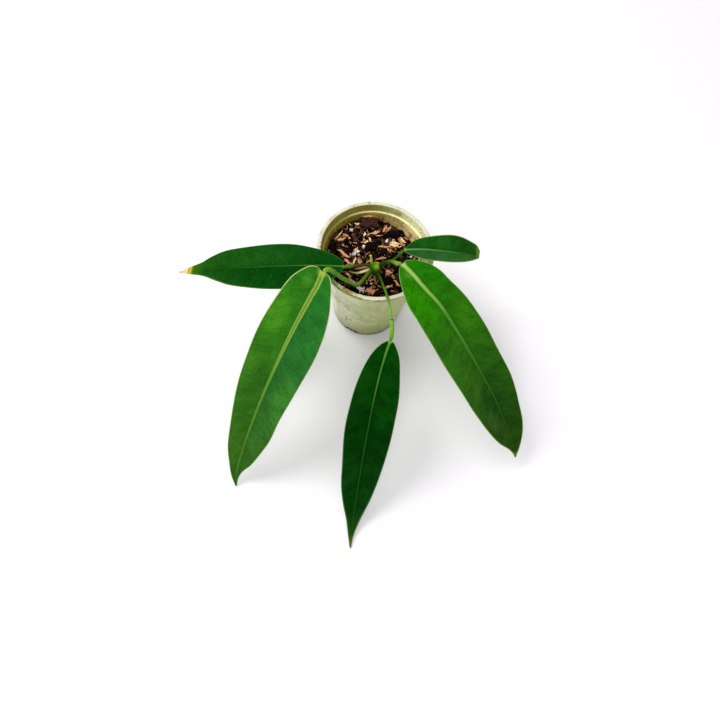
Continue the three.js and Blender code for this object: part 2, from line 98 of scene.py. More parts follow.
# Each leaf has its midrib from base to tip, and its two edges as (along, out) from it, as in the frame's
# solids. rib is the half width of the ridge of the midrib and keel its depth below, both at the base and at
# the tip. rib_line has shares of the length and the half width that is painted there.
LEAVES = {
    "left": dict(
        midrib=[(-23.6, -24.8, 103), (-47, -32, 108.5), (-71, -38.8, 110.5), (-95, -43.8, 108.5),
                (-120, -46.8, 103), (-145, -49, 94.5), (-158.6, -49.9, 89.5)],
        right_edge=[(0, 1.2), (0.3, 5.5), (11, 12.7), (26, 17.3), (40, 20.4), (60, 20.9), (90, 19.2),
                    (103, 16.9), (115, 12), (122, 8), (131, 4.9), (141.4, 0.6)],
        left_edge=[(0, 1.2), (6, 8.2), (22, 16.9), (42, 21.8), (64, 22), (80, 20), (95, 16.7), (107, 11.6),
                   (119, 5.9), (133, 2.5), (141.4, 0.6)],
        rib_line=((0, 0.3, 1), (0.75, 0.5, 0.4)), fold=5, curl=0.5, wave=0.5, rib=(1.3, 0.5), rib_rise=0.15,
        keel=(1.5, 0.5), rows=200,
        petiole=[(1.4, -9.8, 87.4), (-2.1, -9.8, 88.2), (-5.2, -11.1, 90.3), (-9.7, -14.2, 93.5),
                 (-14.4, -17.9, 97), (-18.5, -21.9, 100.4), (-23, -24.6, 102.7), (-25.6, -25.5, 103.2)],
        radius=1.0, base=2.1, base_reach=4.5, joint=1.3, joint_length=11,
    ),
    "front_left": dict(
        midrib=[(-38.8, -44, 120), (-41, -58, 121), (-45.3, -71.1, 118.5), (-53.6, -95, 108.5),
                (-61.2, -116.2, 93.5), (-68.5, -135.8, 74.5), (-75, -154.6, 52.5), (-80.7, -173.4, 29),
                (-83.3, -186.2, 13), (-82.4, -196.4, 1.2)],
        right_edge=[(0, 1.6), (-3, 5.5), (-1.5, 11.6), (9, 19.3), (24, 23.3), (60, 26), (95, 25.1),
                    (131, 20.6), (160, 15.5), (175, 12.2), (188, 7.3), (200, 3.4), (207, 0.7)],
        left_edge=[(0, 1.6), (3, 6.6), (14, 12.3), (28, 19.4), (44, 24.3), (68, 26.9), (96, 25),
                   (128, 21.5), (149, 20.1), (163, 17), (183, 10.4), (192, 5.2), (200, 1.9), (207, 0.7)],
        rib_line=((0, 0.1, 0.3, 0.6, 1), (2.1, 1.9, 1.4, 1.0, 0.7)), fold=7, curl=0.7, wave=0.7,
        rib=(1.8, 0.6), rib_rise=-0.3, keel=(2.0, 0.6), rows=260,
        petiole=[(1.8, -11, 84.4), (-0.7, -12.4, 84.4), (-3.2, -15.8, 84), (-5.2, -20.2, 83.5),
                 (-7.3, -24.6, 84), (-9.8, -29.1, 86), (-12.4, -31.7, 89), (-16.2, -34.4, 95.5),
                 (-20.1, -36.5, 102), (-25.1, -38.8, 109.5), (-31.1, -39.7, 116.5), (-34.6, -39.9, 118.9),
                 (-37, -41.5, 119.2), (-38.9, -44.8, 118.8)],
        radius=1.85, base=1.3, base_reach=15, joint=2.05, joint_length=13,
    ),
    "front_middle": dict(
        midrib=[(25.1, -81.5, 93.5), (23.4, -90.3, 93.3), (21.5, -105.3, 89.5), (20.3, -120.2, 82),
                (19.7, -135.3, 71), (19.6, -149.6, 58), (19.5, -162.5, 45), (19.8, -175.5, 32),
                (20.2, -195.1, 16.5), (21.1, -213.7, 6), (22.5, -232.1, 1.2)],
        right_edge=[(0, 1.5), (6, 6.2), (18, 11.7), (39, 16.3), (60, 18.3), (80, 19), (108, 16.5),
                    (130, 14.2), (146, 10.2), (159, 5.8), (175, 2.1), (181.3, 0.6)],
        left_edge=[(0, 1.5), (1.5, 4), (12, 11.3), (26, 15.9), (46, 19.8), (65, 20.4), (90, 19.6),
                   (111, 17.4), (139, 12), (158, 5.7), (172, 1.7), (181.3, 0.6)],
        rib_line=((0, 0.1, 0.4, 1), (1.1, 0.75, 0.5, 0.4)), fold=7, curl=0.7, wave=0.4, rib=(1.5, 0.5),
        rib_rise=0.15, keel=(1.7, 0.5), rows=240,
        petiole=[(3.6, -12, 85), (5.5, -15, 86), (7.3, -18.7, 88), (9.4, -24.5, 91), (11.7, -31.7, 94.8),
                 (14.3, -39.2, 99.2), (16.5, -46.2, 101.9), (18.6, -51.7, 102.6), (20.2, -57.3, 103),
                 (21.8, -62.4, 102.4), (23, -66.6, 101), (24.7, -72, 98.5), (25.1, -77.2, 96),
                 (25.1, -82.4, 93.1)],
        radius=1.1, base=2.3, base_reach=3, joint=1.7, joint_length=18,
    ),
    "right": dict(
        midrib=[(24, -21.1, 116.5), (32.8, -30, 119), (45.1, -42, 119), (59.4, -52.5, 115),
                (74.8, -66.3, 106.5), (90.9, -80.2, 94.5), (114.1, -97.6, 70.5), (127.3, -106.9, 53),
                (138.7, -115.4, 36), (147.6, -125.1, 22), (151.6, -130.9, 14.5)],
        right_edge=[(0, 1.8), (2.4, 5.1), (11, 11.6), (25.5, 18.7), (36, 23.7), (50, 25.8), (98, 26.6),
                    (130, 25.7), (150, 22.9), (170, 18.9), (187, 12.3), (198, 4.9), (204, 1.9), (208, 0.7)],
        left_edge=[(0, 1.8), (-1.6, 3.9), (2, 9.6), (12.4, 16.7), (24, 20.6), (40, 21.6), (60, 23.6),
                   (98, 24.2), (131, 23.8), (152, 21.9), (172, 18.5), (186, 13.5), (195, 9), (201, 5.2),
                   (208, 0.7)],
        rib_line=((0, 0.1, 0.3, 0.5, 1), (1.9, 1.6, 1.35, 1.0, 0.6)), fold=7, curl=0.7, wave=0.6,
        rib=(2.2, 0.6), rib_rise=0.3, keel=(2.0, 0.6), rows=260,
        petiole=[(3.6, -9.9, 87.6), (7.1, -9.3, 92), (9.4, -10.9, 98), (12.2, -13, 104), (15.8, -16.1, 110),
                 (19.5, -19.2, 113.7), (21.8, -20.2, 115.3), (24.8, -21.6, 116.2)],
        radius=1.55, base=2.8, base_reach=6, joint=1.75, joint_length=10,
    ),
    "small": dict(
        midrib=[(23.9, 2.3, 103), (38.7, 3.8, 106), (49.7, 4.5, 107), (62.5, 5.5, 107), (80.7, 7.6, 105),
                (88, 8.7, 104)],
        right_edge=[(0, 1.1), (3, 4.4), (8, 7.9), (19, 12.7), (27, 13.3), (38, 13), (50, 10.4), (58, 6.8),
                    (64.5, 2.6)],
        left_edge=[(0, 1.1), (2, 2.6), (9, 7.9), (22, 11.6), (40, 14.4), (49, 13.8), (58, 11), (62.5, 9),
                   (65.6, 4.5)],
        rib_line=((0, 0.5, 1), (0.9, 0.75, 0.5)), fold=24, curl=0.4, wave=0.2, rib=(1.0, 0.5),
        rib_rise=0.15, keel=(1.2, 0.5), rows=120,
        petiole=[(4, -9, 84.4), (6.6, -7, 87), (9.8, -6.4, 90), (15.3, -5.4, 95.5), (17.7, -4.5, 98),
                 (20.4, -2.6, 101), (22, -0.2, 102.4), (24.3, 2.3, 102.8)],
        radius=1.1, base=1.5, base_reach=4.5, joint=1.3, joint_length=8,
    ),
}


class Route:
    """A smooth curve through points in mm, read by its share of the length."""

    SPAN_STEPS = 60

    def __init__(self, points):
        points = np.array(points, float)
        padded = np.vstack([2 * points[0] - points[1], points, 2 * points[-1] - points[-2]])
        share = np.linspace(0, 1, self.SPAN_STEPS, endpoint=False)[:, None]
        spans = []
        for a, b, c, d in zip(padded, padded[1:], padded[2:], padded[3:]):
            ab, bc, cd = (math.sqrt(np.linalg.norm(end - start)) for start, end in ((a, b), (b, c), (c, d)))
            leave = ((b - a) / ab - (c - a) / (ab + bc) + (c - b) / bc) * bc
            arrive = ((c - b) / bc - (d - b) / (bc + cd) + (d - c) / cd) * bc
            square = -3 * b + 3 * c - 2 * leave - arrive
            cube = 2 * b - 2 * c + leave + arrive
            spans.append(b + leave * share + square * share**2 + cube * share**3)
        self.points = np.vstack([*spans, points[-1:]])
        steps = np.linalg.norm(np.diff(self.points, axis=0), axis=1)
        self.stations = np.concatenate([[0], np.cumsum(steps)])
        self.length = self.stations[-1]

    def at(self, share):
        station = np.clip(share, 0, 1) * self.length
        return np.stack([np.interp(station, self.stations, axis) for axis in self.points.T], axis=-1)

    def forward(self, share, reach=0.008):
        ahead = self.at(share + reach) - self.at(share - reach)
        return ahead / np.linalg.norm(ahead, axis=-1, keepdims=True)


def smooth(low, high, value):
    """0 below low, 1 above high and an S between."""
    share = np.clip((value - low) / (high - low), 0, 1)
    return share * share * (3 - 2 * share)


def fractal(points, scale, octaves=3, seed=0.0):
    """Layered noise from about -1 to 1 at points in mm, with features of about scale mm."""
    shift = Vector((seed, seed * 1.7, -seed))
    return np.array([noise.fractal(Vector(p) / scale + shift, 0.7, 2.1, octaves) for p in points])


def take_active(name):
    piece = bpy.context.object
    piece.name = piece.data.name = name
    return piece


def choose(piece):
    """Makes a piece the active one and the only one that is selected."""
    bpy.ops.object.select_all(action="DESELECT")
    piece.select_set(True)
    bpy.context.view_layer.objects.active = piece


def add_object(name, data):
    made = bpy.data.objects.new(name, data)
    bpy.context.scene.collection.objects.link(made)
    return made


def in_edit_mode(piece, *steps):
    """Runs mesh operators on the whole of a piece."""
    choose(piece)
    bpy.ops.object.mode_set(mode="EDIT")
    bpy.ops.mesh.select_all(action="SELECT")
    for step in steps:
        step()
    bpy.ops.object.mode_set(mode="OBJECT")


def weld():
    bpy.ops.mesh.remove_doubles(threshold=1e-6)


def face_out():
    bpy.ops.mesh.normals_make_consistent(inside=False)


def places(mesh):
    co = np.empty(3 * len(mesh.vertices), np.float32)
    mesh.vertices.foreach_get("co", co)
    return co.reshape(-1, 3).astype(float)


def put(mesh, points):
    mesh.vertices.foreach_set("co", np.asarray(points, np.float32).ravel())
    mesh.update()


def note(mesh, name, values):
    """Stores one number for each vertex, for the finish to read."""
    layer = mesh.attributes.new(name, "FLOAT", "POINT")
    layer.data.foreach_set("value", np.asarray(values, np.float32))


def skin(name, around, rows, place):
    """A grid wrapped round a form, with u once round it and v from end to end.

    place(u, v) gives its points in mm, and the notes for its finish.
    """
    bpy.ops.mesh.primitive_grid_add(x_subdivisions=around, y_subdivisions=rows, size=1)
    piece = take_active(name)
    flat = places(piece.data) + 0.5
    points, notes = place(flat[:, 0], flat[:, 1])
    put(piece.data, points * MM)
    for key, values in notes.items():
        note(piece.data, key, values)
    in_edit_mode(piece, weld, face_out)
    piece.data.shade_smooth()
    return piece


def settle(piece, finish, slot, *nodes):
    """Gives a finished piece its material, attaches it to the body and hides the frame nodes that it stands
    for. slot is not used.
    """
    piece.data.materials.clear()
    piece.data.materials.append(finish)
    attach(piece, BODY)
    if nodes:
        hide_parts(*nodes)


# Finishes


# Colours are given as the eye meets them. The light makes a face this much brighter than its own colour.
DAYLIGHT = 1.3
WALL_LIGHT = 0.82
MIX_LIGHT = 0.7
PERLITE_LIGHT = 1


class Value:
    """What a node of a finish gives out. Arithmetic on values makes Math nodes."""

    def __init__(self, finish, socket):
        self.finish = finish
        self.socket = socket

    def __add__(self, other):
        return self.finish.math("ADD", self, other)

    def __sub__(self, other):
        return self.finish.math("SUBTRACT", self, other)

    def __mul__(self, other):
        return self.finish.math("MULTIPLY", self, other)

    def __truediv__(self, other):
        return self.finish.math("DIVIDE", self, other)

    def __abs__(self):
        return self.finish.math("ABSOLUTE", self)


class Finish:
    """A material, built node by node. Its methods return values.

    light is the one that its colours are picked in.
    """

    def __init__(self, name, roughness, light=DAYLIGHT, **settings):
        self.light = light
        self.material = bpy.data.materials.new(name)
        self.material.use_nodes = True
        self.tree = self.material.node_tree
        self.shader = self.tree.nodes["Principled BSDF"]
        self.shader.inputs["Roughness"].default_value = roughness
        for key, value in settings.items():
            self.shader.inputs[key.replace("_", " ")].default_value = value

    def node(self, kind, inputs, output=0, **settings):
        made = self.tree.nodes.new("ShaderNode" + kind)
        for key, value in settings.items():
            setattr(made, key, value)
        for key, value in inputs.items():
            if isinstance(value, Value):
                self.tree.links.new(value.socket, made.inputs[key])
            else:
                made.inputs[key].default_value = value
        return Value(self, made.outputs[output])

    def math(self, operation, a, b=0.0):
        return self.node("Math", {0: a, 1: b}, operation=operation)

    def step(self, value, low, high, start=0.0, end=1.0):
        """start up to low, end from high on, and an S between. low may be the larger one."""
        ends = {"Value": value, "From Min": low, "From Max": high, "To Min": start, "To Max": end}
        return self.node("MapRange", ends, interpolation_type="SMOOTHSTEP")

    def blend(self, share, a, b, mode="MIX"):
        inputs = {"Factor": share, 6: a, 7: b}
        return self.node("Mix", inputs, output=2, data_type="RGBA", blend_type=mode)

    def colour(self, text):
        """A colour picked as #rrggbb, as the linear values of the surface itself."""
        parts = [int(text[i:i + 2], 16) / 255 for i in (1, 3, 5)]
        linear = [c / 12.92 if c <= 0.04045 else ((c + 0.055) / 1.055) ** 2.4 for c in parts]
        return (*[c / self.light for c in linear], 1)

    def tones(self, share, low, high):
        """One picked colour where share is 0 and another where it is 1."""
        return self.blend(share, self.colour(low), self.colour(high))

    def coats(self, base, *rows):
        """Lays coats of (share, picked colour) over a base, one after another."""
        for share, text in rows:
            base = self.blend(share, base, self.colour(text))
        return base

    def tint(self, base, share, red, green, blue):
        """Multiplies the base by a colour where share is 1."""
        return self.blend(share, base, self.blend(1.0, base, (red, green, blue, 1), "MULTIPLY"))

    def ramp(self, value, stops):
        """Picked colours at their places from 0 to 1, blended between."""
        made = self.node("ValToRGB", {0: value})
        elements = made.socket.node.color_ramp.elements
        while len(elements) < len(stops):
            elements.new(0.5)
        for element, (at, text) in zip(elements, stops):
            element.position = at
            element.color = self.colour(text)
        return made

    def object_place(self):
        return self.node("TexCoord", {}, output=3)

    def axes(self):
        """x, y and z on the object, in metres."""
        made = self.node("SeparateXYZ", {0: self.object_place()})
        return [Value(self, socket) for socket in made.socket.node.outputs]

    def noted(self, name):
        return self.node("Attribute", {}, output=2, attribute_name=name)

    def vector(self, x, y, z=0.0):
        return self.node("CombineXYZ", {0: x, 1: y, 2: z})

    def length(self, x, y):
        return self.node("VectorMath", {0: self.vector(x, y)}, output=1, operation="LENGTH")

    def noise(self, scale, detail=3.0, place=None, roughness=0.55):
        place = place or self.object_place()
        inputs = {"Vector": place, "Scale": scale, "Detail": detail, "Roughness": roughness}
        return self.node("TexNoise", inputs)

    def cells(self, scale):
        return self.node("TexVoronoi", {"Vector": self.object_place(), "Scale": scale})

    def near(self, spot, radius, soft=0.6):
        """1 inside a ball round a spot in mm on the object, fading to 0 outside it."""
        centre = tuple(c * MM for c in spot)
        away = self.node("VectorMath", {0: self.object_place(), 1: centre}, output=1, operation="DISTANCE")
        return self.step(away, radius * MM * (1 - soft / 2), radius * MM * (1 + soft / 2), 1.0, 0.0)

    def bump(self, height, strength, distance):
        inputs = {"Height": height, "Strength": strength, "Distance": distance * MM}
        normal = self.shader.inputs["Normal"]
        if normal.is_linked:
            inputs["Normal"] = Value(self, normal.links[0].from_socket)
        self.tree.links.new(self.node("Bump", inputs).socket, normal)

    def paint(self, base_colour):
        self.tree.links.new(base_colour.socket, self.shader.inputs["Base Color"])
        return self.material


# Pot


def arc(centre, radius, start, end, steps=5):
    """Points of an arc in the pot's profile, in degrees from outwards, anticlockwise."""
    angles = [math.radians(start + (end - start) * i / steps) for i in range(steps + 1)]
    return [(centre[0] + radius * math.cos(a), centre[1] + radius * math.sin(a)) for a in angles]


def wall_inside(z):
    return BASE_RADIUS - WALL + (z - FLOOR) * (SHOULDER_RADIUS - BASE_RADIUS) / SHOULDER_HEIGHT


def straight(start, end, steps):
    return [(start[0] + (end[0] - start[0]) * i / steps, start[1] + (end[1] - start[1]) * i / steps)
            for i in range(1, steps)]


def pot_profile():
    """The pot's wall, from the middle of the underside round the lip to the middle of the floor inside."""
    collar_inside = COLLAR_RADIUS - 1.5 * WALL
    lip_inside = RIM_RADIUS - LIP_WIDTH
    bead = LIP_THICKNESS / 2
    outside = arc((BASE_RADIUS - 1.4, 1.4), 1.4, -90, -10)
    outside += straight(outside[-1], (SHOULDER_RADIUS, SHOULDER_HEIGHT), 14)
    outside += arc((SHOULDER_RADIUS + 0.6, SHOULDER_HEIGHT - 0.2), 0.6, 180, 110, 4)
    outside += arc((COLLAR_RADIUS - 0.7, SHOULDER_HEIGHT + 1.3), 0.7, -60, 0, 4)
    outside += straight(outside[-1], (COLLAR_RADIUS, POT_HEIGHT - LIP_THICKNESS - 0.5), 4)
    outside += arc((COLLAR_RADIUS + 0.4, POT_HEIGHT - LIP_THICKNESS - 0.4), 0.4, 180, 90, 3)
    lip = arc((RIM_RADIUS - bead, POT_HEIGHT - bead), bead, -90, 80, 9)
    lip += straight(lip[-1], (lip_inside + 0.9, POT_HEIGHT), 3)
    lip += arc((lip_inside + 0.9, POT_HEIGHT - 0.9), 0.9, 90, 175, 5)
    inside = straight(lip[-1], (collar_inside, LEDGE_HEIGHT + 0.5), 3)
    inside += arc((collar_inside - 0.5, LEDGE_HEIGHT + 0.5), 0.5, 0, -80, 3)
    inside += arc((wall_inside(LEDGE_HEIGHT) + 0.3, LEDGE_HEIGHT - 0.5), 0.5, 90, 170, 3)
    inside += straight(inside[-1], (wall_inside(FLOOR + 1.5), FLOOR + 1.5), 14)
    inside += arc((wall_inside(FLOOR) - 1.5, FLOOR + 1.5), 1.5, 0, -90, 4)
    return [(0.5, 0), (16, 0)] + outside + lip + inside + [(16, FLOOR), (0.5, FLOOR)]


def turned(name, profile, around):
    """A circle drawn out ring by ring along a profile of (radius, height), and closed at both ends."""
    first = profile[0]
    bpy.ops.mesh.primitive_circle_add(vertices=around, radius=first[0] * MM, fill_type="NGON",
                                      location=(0, 0, first[1] * MM))
    piece = take_active(name)
    bpy.ops.object.transform_apply(location=True)
    bpy.ops.object.mode_set(mode="EDIT")
    bpy.ops.mesh.select_mode(type="EDGE")
    bpy.ops.mesh.select_all(action="SELECT")
    for (r0, z0), (r1, z1) in zip(profile, profile[1:]):
        bpy.ops.mesh.extrude_region_move(TRANSFORM_OT_translate={"value": (0, 0, (z1 - z0) * MM)})
        bpy.ops.transform.resize(value=(r1 / r0, r1 / r0, 1))
    bpy.ops.object.mode_set(mode="OBJECT")
    in_edit_mode(piece, weld, face_out)
    return piece


def cut(piece, cutter):
    """Takes the cutter's shape out of the piece."""
    choose(piece)
    modifier = piece.modifiers.new("Boolean", "BOOLEAN")
    modifier.operation = "DIFFERENCE"
    modifier.solver = "EXACT"
    modifier.object = cutter
    bpy.ops.object.modifier_apply(modifier=modifier.name)
    bpy.data.objects.remove(cutter)


def openings(ring, radius):
    """The angle and the place in metres of each opening in a ring of them, at a radius in mm."""
    for i in range(ring["count"]):
        angle = math.radians(ring["first_angle"] + 360 * i / ring["count"])
        yield angle, (radius * MM * math.cos(angle), radius * MM * math.sin(angle), 0)


def pot_shape():
    piece = turned("nursery_pot", pot_profile(), POT_AROUND)
    x, y, z = places(piece.data).T / MM
    angle = np.arctan2(y, x)
    wobble = 0.12 * np.sin(2 * angle + 0.6) + 0.06 * np.sin(5 * angle) + 0.05 * np.sin(9 * angle + z * 0.1)
    spread = 1 + wobble * smooth(6, 40, z) * smooth(10, 25, np.hypot(x, y)) / RIM_RADIUS
    put(piece.data, np.stack([x * spread, y * spread, z], axis=1) * MM)
    for angle, place in openings(NOTCHES, BASE_RADIUS + 0.2):
        bpy.ops.mesh.primitive_cube_add(size=1, location=place, rotation=(0, 0, angle))
        cutter = take_active("notch_cutter")
        cutter.scale = (NOTCHES["depth"] * 2 * MM, NOTCHES["width"] * MM, NOTCHES["height"] * 2 * MM)
        bpy.ops.object.transform_apply(location=True, rotation=True, scale=True)
        cut(piece, cutter)
    for _, place in openings(FLOOR_HOLES, FLOOR_HOLES["circle"]):
        bpy.ops.mesh.primitive_cylinder_add(vertices=40, radius=FLOOR_HOLES["radius"] * MM,
                                            depth=FLOOR * 4 * MM, location=place)
        cutter = take_active("hole_cutter")
        bpy.ops.object.transform_apply(location=True)
        cut(piece, cutter)
    choose(piece)
    bpy.ops.object.shade_smooth_by_angle(angle=math.radians(40))
    return piece


# Spots of dirt on the pot: x, y, z and radius in mm, and tone.
POT_MARKS = [
    (-13.2, 48.1, 99.0, 1.3, "#7a4a30"), (-27.0, -31.4, 69.3, 0.9, "#3c3420"),
    (-27.3, -28.5, 56.5, 0.8, "#4a3c22"), (-26.1, -28.3, 50.4, 1.1, "#6a4a1e"),
    (-15.4, -31.0, 25.8, 1.5, "#6c4a1c"), (-11.6, -33.2, 29.2, 1.2, "#40300f"),
    (-17.0, -29.0, 20.0, 1.0, "#7a5e2a"), (-14.1, -36.1, 51.9, 1.0, "#7e6028"),
    (-18.6, -34.5, 55.0, 0.8, "#665022"), (-10.7, -35.2, 39.8, 0.8, "#5e4a1e"),
    (-0.7, -42.2, 74.5, 0.7, "#6a5028"), (10.6, -39.7, 67.0, 0.7, "#5c4a28"),
    (-5.0, -50.2, 98.2, 0.9, "#4a421c"), (10.6, -49.4, 98.2, 1.0, "#3c3a16"),
    (-27.5, -37.5, 99.3, 1.2, "#3c3a1c"), (-31.0, -33.5, 99.3, 1.0, "#4a4420"),
    (-20.5, -43.6, 99.2, 1.0, "#4c4818"), (-24.5, -44.1, 98.4, 0.9, "#4a421c"),
]
# Painted shade round the notches stands for the dark inside them; it is widest round the first one, at the
# front left.
NOTCH_SHADE = 4.2
FIRST_NOTCH_SHADE = 6.4


def pot_finish():
    """Pale sage plastic, tan and freckled under the lip, greener low down, stained olive and brown inside."""
    f = Finish("pot_plastic", 0.45, WALL_LIGHT, Specular_IOR_Level=0.3)
    x, y, z = f.axes()
    radius = f.math("SQRT", x * x + y * y)
    broad, fine, grit = f.noise(32, 4), f.noise(110, 5, roughness=0.65), f.noise(330, 4, roughness=0.7)
    drips = f.noise(1.0, 4, place=f.vector(x * 140, y * 140, z * 22))

    def band(low, high, soft=0.0004):
        """1 at heights from low to high."""
        return f.step(z, low - soft, low) * f.step(z, high, high + soft, 1.0, 0.0)

    # Outside: a painted highlight at the left and painted shade at the right, mottling, drips, tan under the
    # lip, a painted shadow under the collar flecked with grime, and painted shade with grime at the foot.
    # Places and sizes are in metres in this finish, as the object has them, and in mm in near.
    body = f.coats(
        f.tones(f.step(z, 0.0, 0.075), "#838a48", "#adb37d"),
        # Painted highlight down the left side of the wall, and painted shade on its right side.
        (f.step(x, 0.006, -0.037), "#dcddc8"),
        (f.step(x, 0.0, 0.034, 0.0, 0.5), "#969a5e"),
        (f.step(broad, 0.4, 0.66, 0.0, 0.6), "#9ca570"),
        (f.step(drips, 0.48, 0.68, 0.0, 0.3), "#7f865a"),
        (f.step(fine, 0.44, 0.68, 0.0, 0.3), "#d2d2b4"),
        (f.step(z + (broad - 0.5) * 0.02, 0.080, 0.090, 0.0, 0.7), "#c9b98a"),
        # Painted shadow under the collar, flecked with olive grime.
        (band(0.0888, 0.0902, 0.0010) * f.step(fine, 0.4, 0.6, 0.35, 0.95), "#6c6628"),
        (f.step(z, 0.030, 0.003, 0.0, 0.55), "#6c7230"),
        # Painted shade at the foot, broken up like grime and deeper at the right.
        (f.step(z, 0.007, 0.001, 0.0, 0.9) * f.step(fine, 0.28, 0.5), "#4c4e2a"),
        (f.step(z, 0.011, 0.002, 0.0, 0.7) * f.step(x, 0.004, 0.02), "#55562c"))
    # The top of the lip is in full light: mossy, stained and with crumbs at the front left, dirty inside.
    inner_edge = f.step(radius, 0.0490, 0.0472) * f.step(grit, 0.44, 0.56)
    f.light = DAYLIGHT
    top = f.coats(
        f.tones(f.step(fine, 0.48, 0.66), "#e8ead2", "#cfd0b0"),
        (f.step(x, 0.0, 0.04, 0.0, 0.6), "#eeeeda"),
        (f.step(y, 0.01, -0.04, 0.0, 0.5), "#e6e4bc"),
        (f.near((-25.0, -40.0, 99.0), 17, 1.0) * 0.7, "#b3b884"),
        (f.near((-16.5, -45.6, 98.6), 4.5, 1.0) * f.step(fine, 0.36, 0.5) * 0.9, "#a3900e"),
        (f.near((-22.0, -42.0, 99.0), 19, 0.8) * f.step(grit, 0.55, 0.61) * 0.85, "#4c4a1e"),
        (inner_edge * f.step(x + y, -0.035, -0.06, 0.1, 1.0) * 0.6, "#5c5022"))
    f.light = WALL_LIGHT
    body = f.blend(f.step(z, 0.0971, 0.0979), body, top)
    # A painted shade line along the lip's rolled edge at the front, flecked like grime.
    lip_shade_line = f.step(radius, 0.0495, 0.0501) * f.step(fine, 0.36, 0.52, 0.45, 1.0)
    body = f.coats(body, (lip_shade_line * f.near((-8.0, -50.0, 98.0), 36, 1.2), "#716c24"))
    # Inside, the wet mix and algae have stained the plastic, least on the right.
    slope = (SHOULDER_RADIUS - BASE_RADIUS) / SHOULDER_HEIGHT
    within = f.step(radius - (z * slope + (BASE_RADIUS - WALL / 2) * MM), -0.0003, 0.0003, 1.0, 0.0)
    right = f.step(x + broad * 0.024, 0.004, 0.044)
    low = f.coats(f.tones(f.step(fine, 0.44, 0.6), "#7f6c22", "#68660f"),
                  (f.step(broad, 0.5, 0.62, 0.0, 0.5), "#a0903c"))
    low = f.blend(right, low, f.tones(f.step(fine, 0.44, 0.6), "#dcc590", "#b09a50"))
    dirt = f.step(grit, 0.5, 0.6) * f.step(z, 0.078, 0.0915, 1.0, 0.5)
    dirt = dirt * f.blend(right, (1, 1, 1, 1), (0.75, 0.75, 0.75, 1))
    body = f.blend(within, body, f.coats(low, (dirt, "#2c1d0e")))
    high = f.coats(f.tones(right, "#7f762e", "#d6d3a4"),
                   (f.step(fine, 0.5, 0.66, 0.0, 0.5), "#71651f"),
                   (f.step(grit, 0.58, 0.66, 0.0, 0.6), "#4d3a18"))
    body = f.blend(f.step(z, 0.0912, 0.0916) * f.step(radius, 0.0465, 0.0469, 1.0, 0.0), body, high)
    ledge = band(0.0908, 0.0920) * f.step(radius, 0.0438, 0.0444) * f.step(radius, 0.0458, 0.0462, 0.8, 0.0)
    body = f.blend(ledge, body, f.tones(f.step(x + y, -0.02, 0.035), "#857c34", "#dedcae"))
    # Specks and rust all over, the single marks, and painted shade in the openings under the pot and round
    # its notches.
    # Painted shade inside the notches and floor holes.
    recess_shade = f.step(z, 0.0001, 0.0003) * f.step(z, 0.0031, 0.0033, 1.0, 0.0) * f.step(radius, 0.0303, 0.0300)
    spots = [
        (f.step(f.noise(560, 2), 0.62, 0.68) * f.step(f.noise(45, 2), 0.42, 0.56) * 0.7, "#5c4522"),
        (f.step(f.noise(280, 3), 0.66, 0.72) * f.step(f.noise(28, 1), 0.46, 0.58) * 0.75, "#8a5230"),
        (f.near((-19.0, -34.0, 46.0), 20, 1.0) * f.step(f.noise(170, 4), 0.5, 0.62) * 0.5, "#93763a"),
    ]
    spots += [(f.near(spot, size, 1.0) * 0.85, tone) for *spot, size, tone in POT_MARKS]
    spots.append((recess_shade, "#1d1c16"))
    # Painted shade round each notch, widest round the first.
    for i in range(NOTCHES["count"]):
        angle = math.radians(NOTCHES["first_angle"] + 2 + 360 * i / NOTCHES["count"])
        spot = (BASE_RADIUS * math.cos(angle), BASE_RADIUS * math.sin(angle), 2.2)
        reach = FIRST_NOTCH_SHADE if i == 0 else NOTCH_SHADE
        spots.append((f.near(spot, reach, 0.25) * f.step(z, 0.0076, 0.0064) * 0.96, "#1c1b15"))
    f.bump(broad, 0.05, 0.4)
    f.bump(grit, 0.08, 0.1)
    return f.paint(f.coats(body, *spots))


# Potting mix


def mix_surface(x, y):
    coarse = np.sin(x * 0.23 + 1) * np.cos(y * 0.19)
    fine = np.sin(x * 0.41 - y * 0.37)
    return MIX_LEVEL + MIX_SLOPE_X * x + MIX_SLOPE_Y * y + MIX_RELIEF * (coarse + fine / 2)


def mix_body():
    """The loose dark mix, lumpy on top and filling the pot to its floor."""
    foot = FLOOR + FIT_GAP
    top_share, side_share, under_share = 0.62, 0.3, 0.08

    def place(u, v):
        angle = 2 * math.pi * u
        surface = np.clip(v / top_share, 0, 1)
        side = np.clip((v - top_share) / side_share, 0, 1)
        under = np.clip((v - top_share - side_share) / under_share, 0, 1)
        # The rim of the mix is where its surface meets the wall.
        rim = np.full_like(u, SHOULDER_RADIUS - 2.5)
        for _ in range(3):
            edge = mix_surface(rim * np.cos(angle), rim * np.sin(angle))
            rim = wall_inside(edge) - FIT_GAP
        foot_radius = wall_inside(foot) - FIT_GAP
        radius = np.where(side > 0, rim + (foot_radius - rim) * side, rim * surface) * (1 - under)
        x, y = radius * np.cos(angle), radius * np.sin(angle)
        top = mix_surface(x, y)
        points = np.stack([x, y, top], axis=1)
        lumps = 1.3 * fractal(points, 5.0, 3) + 0.6 * fractal(points, 1.6, 2, 5.0) - 0.8
        top = top + lumps * smooth(1.0, 0.97, surface)
        z = np.where(side > 0, edge + (foot - edge) * side, top)
        return np.stack([x, y, z], axis=1), {}

    return skin("mix_body", 240, 170, place)


